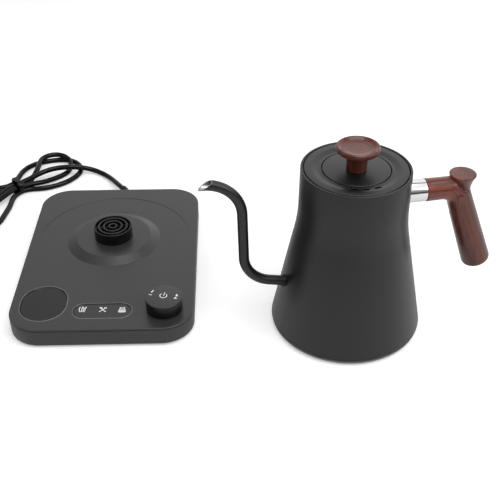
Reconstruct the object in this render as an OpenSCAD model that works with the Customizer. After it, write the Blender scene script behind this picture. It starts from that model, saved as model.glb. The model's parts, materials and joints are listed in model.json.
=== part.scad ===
// Electric gooseneck kettle standing beside its power base, with the mains cord tied in a bundle.
// Millimetres, +Z up. The origin is on the floor, at the middle of the base and kettle together.

/* [Power base] */
// Width of the power base
base_w = 164; // [140:1:200]
// Depth of the power base
base_d = 230; // [200:1:280]
// Height of the flat top of the base
base_h = 20; // [19:0.5:24]
// Corner radius of the base in plan
base_corner = 29; // [22:1:36]
// Height of the floor of the housing over the table
housing_z = 1.6; // [1:0.1:2.4]
// Wall and plate thickness of the base mouldings
base_wall = 2; // [1.6:0.1:2.4]
// Height of the visible edge of the top cover
cover_edge = 1.6; // [1.2:0.1:2]
// Width of the open seam under the edge of the top cover
seam = 0.4; // [0.2:0.1:0.8]
// Radius of the rounded top edge of the cover
cover_round = 0.8; // [0.4:0.1:0.8]
// Radius of the rubber feet
foot_r = 8; // [5:0.5:10]

/* [Kettle seat on the base] */
// Distance of the connector behind the middle of the base
seat_y = 22.4; // [0:0.1:28]
// Distance of the foot of the raised seat cone inside the kettle's lower edge
cone_inset = 21.6; // [16:0.1:28]
// Width of the sloping flank of the cone
cone_flank = 8.8; // [6:0.1:12]
// Height of the seat cone
cone_h = 4; // [2:0.1:5]
// Free space round the kettle's foot in the shallow recess it stands in
ring_gap = 8.4; // [2:0.1:10]
// Depth of that recess
ring_depth = 0.3; // [0.2:0.1:0.5]
// Length of the drain slot behind the cone
drain_w = 18.6; // [10:0.1:24]
// Width of the drain slot
drain_d = 1.4; // [1:0.1:2]

/* [Connector] */
// Radius of the connector boss
boss_r = 18.4; // [15:0.1:20]
// Height of the boss over the flat top of the base
boss_h = 15.4; // [13:0.1:16.5]
// Width of each raised ring on the boss
boss_rib = 2; // [1.6:0.1:2.4]
// Middle radius of the inner raised ring
rib_r1 = 3.6; // [3.2:0.1:4]
// Distance of the middle of the third raised ring inside the boss wall
rib_inset = 4.8; // [4.4:0.1:5.2]
// How far the second raised ring stands outside the middle between the first and the third
rib_shift = 0.2; // [0:0.1:0.4]
// Depth of the grooves between the raised rings
groove_depth = 9; // [6:0.5:11]
// Radial clearance of the kettle's socket round the boss
socket_gap = 0.6; // [0.4:0.1:1]

/* [Controls] */
// Width of the oval display window
window_w = 41; // [36:0.1:44]
// Depth of the oval display window
window_d = 48.4; // [45:0.1:52]
// Distance of the display window left of the middle
window_x = 52.8; // [50:0.1:58]
// Distance of the display window in front of the middle
window_y = 78; // [74:0.1:84]
// Length of the touch key plate
keys_w = 52; // [44:0.1:56]
// Width of the touch key plate
keys_d = 20; // [16:0.1:22]
// Distance of the key plate right of the middle
keys_x = 0.8; // [0:0.1:3]
// Distance of the key plate in front of the middle
keys_y = 89.6; // [84:0.1:96]
// Radius of the dial knob
dial_r = 16.2; // [14:0.1:18]
// Height of the dial knob
dial_h = 12; // [11:0.1:22]
// Distance of the dial right of the middle
dial_x = 55.8; // [52:0.1:60]
// Distance of the dial in front of the middle
dial_y = 87; // [84:0.1:96]
// Travel of the dial when it is pressed
dial_travel = 0.8; // [0.5:0.1:1]
// Radius of the encoder shaft
shaft_r = 3; // [2.5:0.1:3.6]
// Running clearance round the encoder shaft and rotor
run_gap = 0.04; // [0.02:0.01:0.08]

/* [Kettle body] */
// Free space between the base and the kettle standing beside it
set_down_gap = 70; // [40:0.1:90]
// Distance of the kettle in front of the middle of the base
kettle_front = 79.2; // [40:0.1:90]
// Angle of the handle, turned back from straight right
kettle_yaw = 9; // [0:1:20]
// Outside radius of the body at its lower edge
body_r = 66.4; // [54.5:0.1:72]
// Outside radius of the body where the flare meets the neck
waist_r = 46.1; // [45:0.1:47]
// Height of that meeting line
waist_z = 109; // [95:1:125]
// Outside radius of the body at the rim
rim_r = 45.5; // [44.6:0.1:46]
// Height of the rim
body_h = 156.6; // [150:0.1:175]
// Radius of the curve that blends the flare into the neck
blend_r = 145; // [100:1:180]
// Wall thickness of the body
wall = 1.2; // [0.8:0.1:1.5]
// Height of the lower edge of the body shell
shell_z = 6; // [4.6:0.1:7]
// Extra thickness of the rolled rim round the lid
rim_lip = 0.9; // [0.4:0.1:1.4]
// Height of the vessel floor
floor_z = 25; // [24:0.1:30]
// Thickness of the vessel floor
floor_t = 1.2; // [0.8:0.1:2]

/* [Spout] */
// Outside radius of the spout tube
spout_r = 4.4; // [4:0.1:5]
// Wall thickness of the spout tube
spout_wall = 0.8; // [0.6:0.1:1]
// Rise of the spout where it leaves the body, in degrees
spout_rise = 12; // [8:1:16]
// Lean of the upright part of the spout, in degrees
spout_lean = 1.6; // [0:0.1:4]
// Distance of the upright from the kettle axis at its foot
upright_s = 92.8; // [88:0.1:98]
// Height of the foot of the upright
upright_z = 79; // [74:1:84]
// Length of the upright
upright_len = 44; // [34:1:50]
// Radius of the lower bend
bend_low = 27.8; // [24:0.1:30]
// Radius of the upper bend
bend_high = 32; // [26:0.1:34]
// Straight length at the tip
tip_len = 3.6; // [2:0.1:6]
// Angle of the slanting cut at the tip, from level
tip_cut = 33; // [25:1:45]

/* [Handle] */
// Distance of the arm's middle below the rim
arm_drop = 27.8; // [22:0.1:34]
// Radius of the wooden arm
arm_r = 9.7; // [8:0.1:11.6]
// Step from the wooden arm down to the steel ferrule
ferrule_step = 0.1; // [0:0.1:0.6]
// Distance of the arm's end from the kettle axis
arm_start = 61; // [57:0.1:66]
// Distance from the kettle axis at which the grip's middle line meets the arm's
grip_top_s = 89.2; // [84:0.1:94]
// Height of the arm's middle over the grip's foot
grip_drop = 78.8; // [65:0.1:85]
// Slant of the grip, in degrees from upright
grip_tilt = 20.9; // [16:0.1:24]
// Radius of the grip at its foot
grip_r = 12.4; // [11:0.1:14]
// Radius of the grip at its top
grip_top_r = 10.7; // [9:0.1:12.4]
// Radius of the flared thumb rest
thumb_r = 11.5; // [9:0.1:12]
// Radius of the neck under the thumb rest
thumb_neck_r = 6.1; // [5:0.1:7]
// Distance of the thumb rest from the kettle axis
thumb_s = 93.5; // [90:0.1:96]
// Height of the top of the thumb rest over the arm's middle
thumb_rise = 12.9; // [10.5:0.1:17]

/* [Lid] */
// Gap between the lid cover and the rim all round
lid_gap = 0.5; // [0.4:0.1:0.8]
// Radius of the centre disc of the lid
disc_r = 28.2; // [25:0.1:31]
// Thickness of the lid cover
lid_t = 3; // [2:0.1:4]
// Width of the lid's ledge outside the plug under it
lid_ledge = 5.5; // [4:0.1:7]
// Depth of the plug under the lid
plug_h = 13; // [9:0.5:16]
// Radius of the wooden lid knob
knob_r = 18; // [15:0.1:20]
// Height of the wooden knob's top over the rim
knob_rise = 20.4; // [16:0.1:30]
// Thickness of the knob's disc
knob_t = 7; // [5:0.1:9]
// Radius of the knob's stem
stem_r = 8.5; // [6.5:0.1:9]

/* [Mains cord] */
// Diameter of the cord
cord_dia = 5.8; // [5:0.1:7]
// Distance of the cord outlet right of the middle
outlet_x = 6; // [0:0.5:10]
// Height of the cord outlet
outlet_z = 8.4; // [7.4:0.1:9]
// Length of the strain relief behind the base
relief_len = 20; // [20:1:30]
// Length of its straight neck behind the wall
relief_neck = 3; // [2.6:0.1:5]
// Turn of the strain relief towards the bundle, in degrees
relief_turn = 25; // [0:1:30]

/* [Hidden] */
$fn = 96;
eps = 0.01;

// Places of the base and of the kettle in the shared frame.
kettle_dx = base_w / 2 + set_down_gap + body_r;
arm_z = body_h - arm_drop;
thumb_z = arm_z + thumb_rise;
grip_s = grip_top_s + grip_drop * tan(grip_tilt);
grip_z = arm_z - grip_drop;
knob_z = body_h + knob_rise;
ring_r = body_r + ring_gap;
cone_r = body_r - cone_inset;
cone_top_r = cone_r - cone_flank;
rib_r3 = boss_r - rib_inset;
rib_r2 = (rib_r1 + rib_r3) / 2 + rib_shift;
handle_reach = (grip_s + grip_r) * cos(kettle_yaw);
frame_x = (kettle_dx + handle_reach - base_w / 2) / 2;
frame_y = (base_d / 2 - kettle_front - body_r) / 2;
base_at = [-frame_x, -frame_y, 0];
kettle_at = [kettle_dx - frame_x, -kettle_front - frame_y, 0];

// Levels in the base.
seam_z = base_h - cover_edge;
floor_top = housing_z + base_wall;
plate_z = base_h - base_wall;
cone_top = base_h + cone_h;
boss_foot_z = cone_top - base_wall - 2;
boss_neck_r = boss_r - 1.4;
board_t = 1.6;
board_z = floor_top + 3.4;
foot_h = 2.6;
screw_inset = 13;
screw_r = 1.5;
screw_head_r = 2.8;
screw_gap = 0.05;
post_r = 4;
split_z = 9;
window_t = 2;
window_sink = 0.5;
pocket_lip = 2.2;
pocket_gap = 0.15;

// Levels in the dial.
dial_gap = dial_travel + 0.3;
dial_z = base_h + dial_gap;
bushing_r = shaft_r + 1.8;
bushing_top = base_h + 1.2;
encoder_z = board_z + board_t;
encoder_w = 12.4;
encoder_h = plate_z - encoder_z;
rotor_r = shaft_r + 2;
rotor_h = 3;
rotor_z = encoder_z + 2;
shaft_z = encoder_z + 1.6;
shaft_top = dial_z + dial_h - 5;
flat_x = shaft_r * 0.55;

// Levels in the kettle.
recess_gap = 1.4;
socket_r = boss_r + socket_gap;
socket_wall = 2.2;
socket_top = boss_h + 1.6;
guide_len = 5;
relief_step = 0.8;
contact_len = 5.8;
plate_r = 50;
plate_t = 3;
element_r = 38;
element_tube = 3.1;
foot_ring_top = shell_z - 0.6;
pad_h = 1.2;
lip_h = 7;
cover_t = 2;

// Levels in the lid.
lid_r = rim_r - wall - rim_lip - lid_gap;
plug_r = lid_r - lid_ledge;
lid_top = body_h - 0.1;
lid_z = lid_top - lid_t;
flange_t = 1.4;
seat_z = lid_z - flange_t - 0.3;
seat_r = plug_r + 0.9;
seat_t = 3;

relief_dir = [-sin(relief_turn), cos(relief_turn), 0];
relief_end = [0, relief_neck, outlet_z] + relief_len * relief_dir;

// Cord route behind the strain relief: across, back and up from the foot of the outlet.
// The points are chosen by hand; the cord lies on the floor and ends in the bundle.
cord_route = concat([relief_end, relief_end + 4 * relief_dir], [
    [-14.7, 31.2, 7.4], [-19, 38.4, 6], [-23.2, 45.8, 4.8], [-28, 53, 3.9], [-33.4, 59.6, 3.3],
    [-39.7, 65.5, 3.3], [-47.3, 69.2, 4.5], [-55.5, 68.8, 7], [-62.5, 67.2, 9]
]);
// Cord from the bundle to the plug, lying on the floor left of the base.
tail_route = [
    [-128.6, 15, 3.2], [-129.6, 8, 3], [-129.7, 0, 3], [-130, -8, 3], [-131, -16, 3], [-132.3, -24, 3],
    [-134, -32, 3], [-136.5, -40, 3], [-139.2, -48, 3.1], [-141.6, -56.3, 3.7], [-144, -64.5, 5.2],
    [-146.3, -72.3, 8], [-148, -80, 12], [-148, -87, 12]
];
// Bundle: its middle, where the tie is, and a right and a left bow of loops: direction, length, half width.
bundle_at = [-127, 31];
right_turn = 48;
right_len = 84;
right_half = 33;
left_turn = 208;
left_len = 66;
left_half = 25;
bundle_waist = 11;
bundle_h = 17;
tie_turn = 36;
tie_w = 9;
tie_t = 1.5;
cord_r = cord_dia / 2;
relief_neck_r = cord_r + 0.9;
outlet_at = [outlet_x, base_d / 2, 0];
plug_at = [-148, -87, 12];
plug_len = 36;

// ---------------------------------------------------------------- shared shapes

module rounded_rect(w, d, r) {
    square([w - 2 * r, d], center = true);
    square([w, d - 2 * r], center = true);
    for (x = [-1, 1], y = [-1, 1]) translate([x * (w / 2 - r), y * (d / 2 - r)]) circle(r);
}

module pill(l, w) {
    square([l - w, w], center = true);
    for (x = [-1, 1]) translate([x * (l - w) / 2, 0]) circle(w / 2);
}

// Outline of the oval display window, grown all round.
module window_outline(grow) rotate(90) pill(window_d + 2 * grow, window_w + 2 * grow);

module ring(outer, inner, h) {
    difference() {
        cylinder(h = h, r = outer);
        translate([0, 0, -1]) cylinder(h = h + 2, r = inner);
    }
}

// Slab with upright corners of radius r and a quarter-round top edge of radius e.
module soft_slab(w, d, h, r, e) {
    linear_extrude(h - e) rounded_rect(w, d, r);
    linear_extrude(h) rounded_rect(w - 2 * e, d - 2 * e, r - e);
    for (x = [-1, 1], y = [-1, 1])
        translate([x * (w / 2 - r), y * (d / 2 - r), h - e])
            rotate_extrude() translate([r - e, 0]) circle(e);
    for (x = [-1, 1])
        translate([x * (w / 2 - e), 0, h - e])
            rotate([90, 0, 0]) linear_extrude(d - 2 * r, center = true) circle(e);
    for (y = [-1, 1])
        translate([0, y * (d / 2 - e), h - e])
            rotate([0, 90, 0]) linear_extrude(w - 2 * r, center = true) circle(e);
}

module at_base() translate(base_at) children();
module at_kettle() translate(kettle_at) rotate(kettle_yaw) children();
module at_seat() at_base() translate([0, seat_y, 0]) children();
module at_window() at_base() translate([-window_x, -window_y, 0]) children();
module at_keys() at_base() translate([keys_x, -keys_y, 0]) children();
module at_dial() at_base() translate([dial_x, -dial_y, 0]) children();
module at_outlet() at_base() translate(outlet_at) children();

module at_screws()
    for (x = [-1, 1], y = [-1, 0, 1])
        translate([x * (base_w / 2 - screw_inset), y * (base_d / 2 - screw_inset), 0]) children();

module at_feet()
    for (x = [-1, 1], y = [-1, 1])
        translate([x * (base_w / 2 - 30), y * (base_d / 2 - 34), 0]) children();

// ---------------------------------------------------------------- power base

module top_cover() color("#45474a") at_base() difference() {
    union() {
        difference() {
            translate([0, 0, seam_z])
                soft_slab(base_w, base_d, cover_edge, base_corner, min(cover_round, cover_edge / 2));
            translate([0, 0, seam_z - 1]) linear_extrude(1 + plate_z - seam_z)
                rounded_rect(base_w - 4 * base_wall, base_d - 4 * base_wall, base_corner - 2 * base_wall);
        }
        translate([0, 0, plate_z]) linear_extrude(base_wall - eps)
            rounded_rect(base_w - 3 * base_wall, base_d - 3 * base_wall, base_corner - 1.5 * base_wall);
        // Rim that drops inside the housing wall.
        translate([0, 0, seam_z - 4]) linear_extrude(4 + eps) difference() {
            rounded_rect(base_w - 2 * base_wall - 0.3, base_d - 2 * base_wall - 0.3,
                         base_corner - base_wall - 0.15);
            rounded_rect(base_w - 4 * base_wall, base_d - 4 * base_wall, base_corner - 2 * base_wall);
        }
        translate([0, seat_y, base_h - base_wall])
            cylinder(h = cone_h + base_wall, r1 = cone_r + base_wall * (cone_r - cone_top_r) / cone_h,
                     r2 = cone_top_r);
        at_screws() translate([0, 0, split_z]) cylinder(h = plate_z - split_z + eps, r = post_r - 0.6);
    }
    // Recess that the kettle's foot stands in, outside the cone.
    translate([0, seat_y, base_h - ring_depth]) ring(ring_r, cone_r, 2);
    // Hollow of the cone and the hole for the connector boss.
    translate([0, seat_y, plate_z - 1]) cylinder(h = 1 + cone_h, r = cone_top_r - 1.5 * base_wall);
    translate([0, seat_y, 0]) cylinder(h = cone_top + 2, r = boss_neck_r + 0.1);
    translate([0, seat_y + cone_r + 3.2, 0]) linear_extrude(base_h + 2) pill(drain_w, drain_d);
    // Pockets for the display window and the key plate, and the bushing hole.
    translate([-window_x, -window_y, 0]) {
        linear_extrude(base_h + 2) window_outline(-pocket_lip);
        translate([0, 0, base_h - window_t - window_sink + 1]) linear_extrude(3) window_outline(pocket_gap);
    }
    translate([keys_x, -keys_y, 0]) {
        linear_extrude(base_h + 2) pill(keys_w - 2 * pocket_lip, keys_d - 2 * pocket_lip);
        translate([0, 0, base_h - 1.4]) linear_extrude(3)
            pill(keys_w + 2 * pocket_gap, keys_d + 2 * pocket_gap);
    }
    translate([dial_x, -dial_y, 0]) cylinder(h = base_h + 2, r = bushing_r + 0.1);
    at_screws() cylinder(h = split_z + 6, r = screw_r + screw_gap);
}

module bottom_housing() color("#3c3e40") at_base() difference() {
    union() {
        difference() {
            translate([0, 0, seam_z]) mirror([0, 0, 1])
                soft_slab(base_w, base_d, seam_z - housing_z, base_corner, 2.4);
            translate([0, 0, floor_top]) linear_extrude(base_h)
                rounded_rect(base_w - 2 * base_wall, base_d - 2 * base_wall, base_corner - base_wall);
            // The outer half of the wall stops short, which leaves the seam open.
            translate([0, 0, seam_z - seam]) linear_extrude(base_h) difference() {
                square([base_w + 10, base_d + 10], center = true);
                rounded_rect(base_w - base_wall, base_d - base_wall, base_corner - base_wall / 2);
            }
        }
        at_screws() translate([0, 0, housing_z]) cylinder(h = split_z - housing_z, r = post_r);
        for (x = [-1, 1], y = [-1, 1]) {
            // Posts under the four boards.
            translate([-window_x + x * 10, -window_y + y * 10, housing_z])
                cylinder(h = board_z + 4 - housing_z, r = 2);
            translate([keys_x + x * 17, -keys_y + y * 4, housing_z])
                cylinder(h = board_z + 4 - housing_z, r = 2);
            translate([dial_x - 8 + x * 10, -dial_y + 18 + y * 18, housing_z])
                cylinder(h = board_z - housing_z, r = 2);
            translate([-44 + x * 20, 62 + y * 18, housing_z]) cylinder(h = board_z - housing_z, r = 2);
        }
        for (x = [-1, 1]) translate([x * 13, seat_y, housing_z])
            cylinder(h = board_z - housing_z, r = 3);
        translate([outlet_x, base_d / 2 - base_wall - 10, housing_z])
            linear_extrude(outlet_z - cord_r - 1 - housing_z) square([18, 8], center = true);
    }
    at_screws() {
        translate([0, 0, -1]) cylinder(h = split_z + 6, r = screw_r + 0.2);
        translate([0, 0, -1]) cylinder(h = housing_z + 2.4, r = screw_head_r + 0.2);
    }
    at_feet() translate([0, 0, -1]) cylinder(h = foot_h + 1, r = foot_r + 0.1);
    translate([outlet_x, base_d / 2 + 1, outlet_z]) rotate([90, 0, 0])
        cylinder(h = base_wall + 2, r = relief_neck_r + 0.1);
    // Cooling slots under the power board.
    for (i = [0:5]) translate([-44 + (i - 2.5) * 6, 62, -1]) linear_extrude(floor_top + 1.5)
        rotate(90) pill(22, 2);
}

module rubber_feet() color("#1c1c1c") at_base() at_feet() difference() {
    cylinder(h = foot_h, r = foot_r);
    translate([0, 0, -eps]) cylinder(h = 0.6, r = foot_r - 2.4);
}

module base_screws() color("#b8babd") at_base() at_screws() translate([0, 0, housing_z + 0.6]) {
    cylinder(h = 0.8, r = screw_head_r);
    translate([0, 0, 0.8 - eps]) cylinder(h = split_z + 3 - housing_z + eps, r = screw_r);
}

module display_window() color("#232527") at_window() translate([0, 0, base_h - window_t - window_sink]) {
    translate([0, 0, 1]) linear_extrude(window_t - 1) window_outline(0);
    linear_extrude(1 + eps) window_outline(-pocket_lip - pocket_gap);
}

module display_board() color("#2f5d3a") at_window() translate([0, 0, board_z + 4]) {
    cylinder(h = board_t, r = 17.5);
    translate([0, 0, board_t]) linear_extrude(base_h - window_t - window_sink - board_z - 4 - board_t)
        square([26, 14], center = true);
}

module touch_key_plate() color("#303234") at_keys() {
    translate([0, 0, base_h - 1.4]) linear_extrude(1) pill(keys_w, keys_d);
    translate([0, 0, base_h - 2.4]) linear_extrude(1 + eps)
        pill(keys_w - 2 * pocket_lip - 2 * pocket_gap, keys_d - 2 * pocket_lip - 2 * pocket_gap);
}

module touch_board() color("#2f5d3a") at_keys() translate([0, 0, board_z + 4]) {
    linear_extrude(board_t) square([44, 14], center = true);
    for (x = [-1, 0, 1]) translate([x * 17.4, 0, board_t])
        cylinder(h = base_h - 2.4 - board_z - 4 - board_t, r = 3.5);
}

module control_board() color("#2f5d3a") at_dial() translate([-8, 18, board_z])
    linear_extrude(board_t) square([30, 60], center = true);

module encoder_body() color("#8f9296") at_dial() difference() {
    union() {
        translate([0, 0, encoder_z]) linear_extrude(encoder_h) square(encoder_w, center = true);
        translate([0, 0, plate_z]) cylinder(h = bushing_top - plate_z, r = bushing_r);
    }
    translate([0, 0, rotor_z - 0.3]) cylinder(h = rotor_h + 0.6, r = rotor_r + run_gap);
    translate([0, 0, shaft_z - dial_travel - 0.4]) cylinder(h = base_h, r = shaft_r + run_gap);
}

module buzzer() color("#161616") at_dial() translate([-8, 36, board_z + board_t])
    ring(5.5, 1, 6.5);

module power_board() color("#2f5d3a") at_base() translate([-44, 62, board_z])
    linear_extrude(board_t) square([52, 46], center = true);

module relay() color("#1f4f8a") at_base() translate([-54, 70, board_z + board_t])
    linear_extrude(7.6) square([18, 15], center = true);

module transformer() color("#c9a13c") at_base() translate([-32, 66, board_z + board_t])
    linear_extrude(7) square([17, 20], center = true);

module connector_boss() color("#101010") at_seat() difference() {
    union() {
        translate([0, 0, cone_top]) cylinder(h = boss_h - cone_h, r = boss_r);
        translate([0, 0, boss_foot_z]) cylinder(h = cone_top - boss_foot_z + eps, r = boss_neck_r);
    }
    translate([0, 0, base_h + boss_h - groove_depth]) {
        cylinder(h = groove_depth + 1, r = rib_r1 - boss_rib / 2);
        ring(rib_r2 - boss_rib / 2, rib_r1 + boss_rib / 2, groove_depth + 1);
        ring(rib_r3 - boss_rib / 2, rib_r2 + boss_rib / 2, groove_depth + 1);
        ring(boss_r - 1.3, rib_r3 + boss_rib / 2, groove_depth + 1);
    }
}

module connector_rings() color("#c9a24b") at_seat() translate([0, 0, base_h + boss_h - groove_depth]) {
    cylinder(h = 5, r = 1.6);
    ring(rib_r2 - boss_rib / 2, rib_r2 - boss_rib / 2 - 0.8, 5);
    ring(rib_r3 - boss_rib / 2, rib_r3 - boss_rib / 2 - 0.8, 5);
    ring(boss_r - 1.3, boss_r - 2.1, 5);
}

module terminal_block() color("#2a2a2a") at_seat() translate([0, 0, board_z])
    cylinder(h = boss_foot_z - board_z, r = boss_r - 2);

module cord_clamp() color("#2b2b2b") at_base()
    translate([outlet_x, base_d / 2 - base_wall - 10, outlet_z - cord_r - 1]) difference() {
        linear_extrude(cord_dia + 3) square([18, 8], center = true);
        translate([0, 0, cord_r + 1]) rotate([90, 0, 0]) cylinder(h = 20, r = cord_r, center = true);
    }

// ---------------------------------------------------------------- dial

module shaft_section(r) intersection() {
    circle(r);
    translate([-r - 1, -r - 1]) square([r + 1 + flat_x, 2 * r + 2]);
}

module encoder_rotor() color("#d8d8d0") at_dial() translate([0, 0, rotor_z]) difference() {
    cylinder(h = rotor_h, r = rotor_r);
    translate([0, 0, -1]) linear_extrude(rotor_h + 2) shaft_section(shaft_r + run_gap);
}

module encoder_shaft() color("#b9bcc0") at_dial() translate([0, 0, shaft_z])
    linear_extrude(shaft_top - shaft_z) shaft_section(shaft_r);

module dial_knob() color("#1f2022") at_dial() difference() {
    union() {
        translate([0, 0, dial_z]) ring(dial_r, dial_r - 2, dial_h - 3);
        translate([0, 0, dial_z + dial_h - 3]) rotate_extrude() {
            square([dial_r, 2.2]);
            square([dial_r - 0.8, 3]);
            translate([dial_r - 0.8, 2.2]) circle(0.8);
        }
        translate([0, 0, bushing_top + dial_gap])
            cylinder(h = dial_z + dial_h - 3 - bushing_top - dial_gap + eps, r = shaft_r + 2.6);
    }
    translate([0, 0, dial_z - 1]) linear_extrude(shaft_top - dial_z + 1) shaft_section(shaft_r);
}

// ---------------------------------------------------------------- mains cord

// Tube with n sides swept along points by carrying each ring square to the route.
function unit(v) = v / norm(v);
function route_dir(p, i) =
    i == 0 ? unit(p[1] - p[0]) :
    i == len(p) - 1 ? unit(p[i] - p[i - 1]) :
    unit(unit(p[i + 1] - p[i]) + unit(p[i] - p[i - 1]));
function ring_points(c, d, r, n) =
    let (side = unit(cross(d, [0, 0, 1])), top = cross(side, d))
    [for (k = [0:n - 1]) c + r * (cos(360 * k / n) * side + sin(360 * k / n) * top)];

module tube_along(p, r, n) {
    rings = [for (i = [0:len(p) - 1]) ring_points(p[i], route_dir(p, i), r, n)];
    polyhedron(
        points = [for (q = rings) each q],
        faces = concat(
            [[for (k = [0:n - 1]) k]],
            [for (i = [0:len(p) - 2], k = [0:n - 1])
                [i * n + k, (i + 1) * n + k, (i + 1) * n + (k + 1) % n, i * n + (k + 1) % n]],
            [[for (k = [n - 1:-1:0]) (len(p) - 1) * n + k]]
        )
    );
}

// Middle line of the tapered part of the strain relief; its children lie along +Z.
module relief_line()
    translate([0, relief_neck, outlet_z]) rotate(relief_turn) rotate([-90, 0, 0]) children();

module strain_relief() color("#141414") at_outlet() difference() {
    union() {
        translate([0, -base_wall - 1.5, outlet_z]) rotate([-90, 0, 0]) {
            cylinder(h = 1.5, r = relief_neck_r + 0.9);
            cylinder(h = base_wall + 1.5 + relief_neck + 2, r = relief_neck_r);
        }
        relief_line() cylinder(h = relief_len, r1 = 5.6, r2 = 3.7);
    }
    relief_line() for (i = [1:4]) translate([0, 0, relief_len * i / 5.5]) ring(7, 3.7 - 0.3, 1.1);
}

module cord_run() color("#161616") at_outlet() tube_along(cord_route, cord_r, 8);

module cord_tail() color("#161616") at_outlet() tube_along(tail_route, cord_r, 8);

module bow(turn, len, half) rotate(turn) {
    translate([len - half, 0, 0]) cylinder(h = bundle_h, r = half);
    linear_extrude(bundle_h) polygon([
        [0, -bundle_waist + 1], [0, bundle_waist - 1], [len - 1.3 * half, 0.9 * half],
        [len - 1.3 * half, -0.9 * half]
    ]);
}

// Slice of the bundle that the tie goes round, w across and h high.
module tie_slice(length, w, h) rotate(tie_turn) translate([0, 0, (bundle_h - h) / 2])
    linear_extrude(h) square([length, w], center = true);

tied_w = 2 * (bundle_waist - tie_t);
tied_h = bundle_h - 2 * tie_t;

module cord_bundle() color("#161616") at_outlet() translate(bundle_at) {
    difference() {
        union() {
            bow(right_turn, right_len, right_half);
            bow(left_turn, left_len, left_half);
        }
        tie_slice(tie_w, 4 * bundle_waist, 2 * bundle_h);
    }
    tie_slice(tie_w + 6, tied_w, tied_h);
}

module cord_tie() color("#0e0e0e") at_outlet() translate(bundle_at) difference() {
    tie_slice(tie_w, 2 * bundle_waist, bundle_h);
    tie_slice(2 * tie_w, tied_w, tied_h);
}

module mains_plug() color("#141414") at_outlet() translate(plug_at) rotate([90, 0, 0]) {
    linear_extrude(plug_len) rounded_rect(26, 24, 8);
}

module plug_pins() color("#c7c9cc") at_outlet() translate(plug_at + [0, -plug_len, 0]) rotate([90, 0, 0]) {
    for (x = [-1, 1]) translate([x * 6.35, 3, 0]) linear_extrude(17.5) square([1.5, 6.3], center = true);
    translate([0, -6.5, 0]) cylinder(h = 20.5, r = 2.38);
}

// ---------------------------------------------------------------- kettle body

// Outer radius of the shell at height z, and the angles of its two straight stretches.
low_angle = atan((body_r - waist_r) / (waist_z - shell_z));
high_angle = atan((waist_r - rim_r) / (body_h - waist_z));
arm_wall_r = rim_r + (body_h - arm_z) * tan(high_angle);
blend_len = blend_r * tan((low_angle - high_angle) / 2);
blend_start = [waist_r + blend_len * sin(low_angle), waist_z - blend_len * cos(low_angle)];
blend_centre = blend_start + blend_r * [cos(low_angle), sin(low_angle)];
function low_r(z) = body_r - (z - shell_z) * tan(low_angle);

blend_steps = 8;
flare = concat(
    [[body_r, shell_z]],
    [for (i = [0:blend_steps])
        let (a = low_angle + (high_angle - low_angle) * i / blend_steps)
        blend_centre - blend_r * [cos(a), sin(a)]],
    [[rim_r, body_h]]
);

module body_outline(inset) polygon(concat(
    [[0, shell_z]], [for (p = flare) [p[0] - inset, p[1]]], [[0, body_h]]
));

// The space inside the outer surface, for whatever meets the body from outside.
module body_solid() rotate_extrude() body_outline(0);

module body_shell() color("#2c2d2f") at_kettle() difference() {
    rotate_extrude() difference() {
        body_outline(0);
        difference() {
            body_outline(wall);
            // The rim is thicker down to the ring on which the lid rests.
            translate([rim_r - wall - rim_lip, seat_z + 0.05]) square([rim_lip + 4, body_h]);
        }
        translate([0, shell_z - 1]) square([body_r - wall, 1 + eps]);
        translate([0, body_h - eps]) square([rim_r - wall - rim_lip, 1]);
    }
    spout_root() cylinder(h = 30, r = spout_r - spout_wall, center = true);
    translate([0, 0, arm_z]) rotate([0, 90, 0]) cylinder(h = arm_wall_r + 10, r = stud_r + 0.1);
}

module lid_seat_ring() color("#9a9da1") at_kettle() translate([0, 0, seat_z - seat_t]) difference() {
    cylinder(h = seat_t, r = rim_r - wall - 0.1);
    translate([0, 0, -1]) cylinder(h = seat_t + 2, r = seat_r);
}

module vessel_floor() color("#a9acb0") at_kettle() difference() {
    translate([0, 0, floor_z]) cylinder(h = floor_t, r = low_r(floor_z + floor_t) - wall - 0.1);
    cylinder(h = floor_z + 5, r = probe_r + 0.2);
}

module heating_plate() color("#b4b6b9") at_kettle() difference() {
    translate([0, 0, floor_z - plate_t]) cylinder(h = plate_t, r = plate_r);
    cylinder(h = floor_z + 5, r = probe_r + 0.2);
}

module heating_element() color("#7d7f82") at_kettle()
    translate([0, 0, floor_z - plate_t - element_tube]) {
        rotate([0, 0, 20]) rotate_extrude(angle = 320) translate([element_r, 0]) circle(element_tube);
        for (a = [20, 340]) rotate(a) translate([element_r, 0, 0]) {
            sphere(element_tube);
            translate([-6, 0, -4]) cylinder(h = 3, r = 1.4);
            translate([-6, 0, -2.5]) rotate([0, 90, 0]) cylinder(h = 6, r = 1.4);
        }
    }

probe_r = 3;
probe_top = 5;

module temperature_sensor() color("#c4c6c8") at_kettle() {
    translate([0, 0, socket_top + socket_wall])
        cylinder(h = floor_z + probe_top - socket_top - socket_wall, r = probe_r);
    translate([0, 0, floor_z + probe_top]) sphere(probe_r);
}

module sensor_seal() color("#b8683c") at_kettle() translate([0, 0, floor_z + floor_t])
    ring(probe_r + 2.5, probe_r, 1.6);

// Grey ring under the shell: a rounded foot outside and a lip that fits inside the shell.
module foot_ring() color("#6d6f72") at_kettle() rotate_extrude() polygon([
    [cover_r, pad_h], [body_r - 3.4, pad_h], [body_r - 1.6, pad_h + 1.2], [body_r - 0.6, foot_ring_top],
    [body_r - wall - 0.6, foot_ring_top], [body_r - wall - 0.6, shell_z],
    [low_r(shell_z + lip_h) - wall - 0.1, shell_z + lip_h],
    [low_r(shell_z + lip_h) - wall - 2.1, shell_z + lip_h], [cover_r, foot_ring_top]
]);

cover_r = body_r - 7;
recess_r = cone_r + recess_gap;
recess_top_r = cone_top_r + recess_gap;
recess_z = cone_h + recess_gap;
cover_hole_r = socket_r + socket_wall + 0.1;

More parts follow.
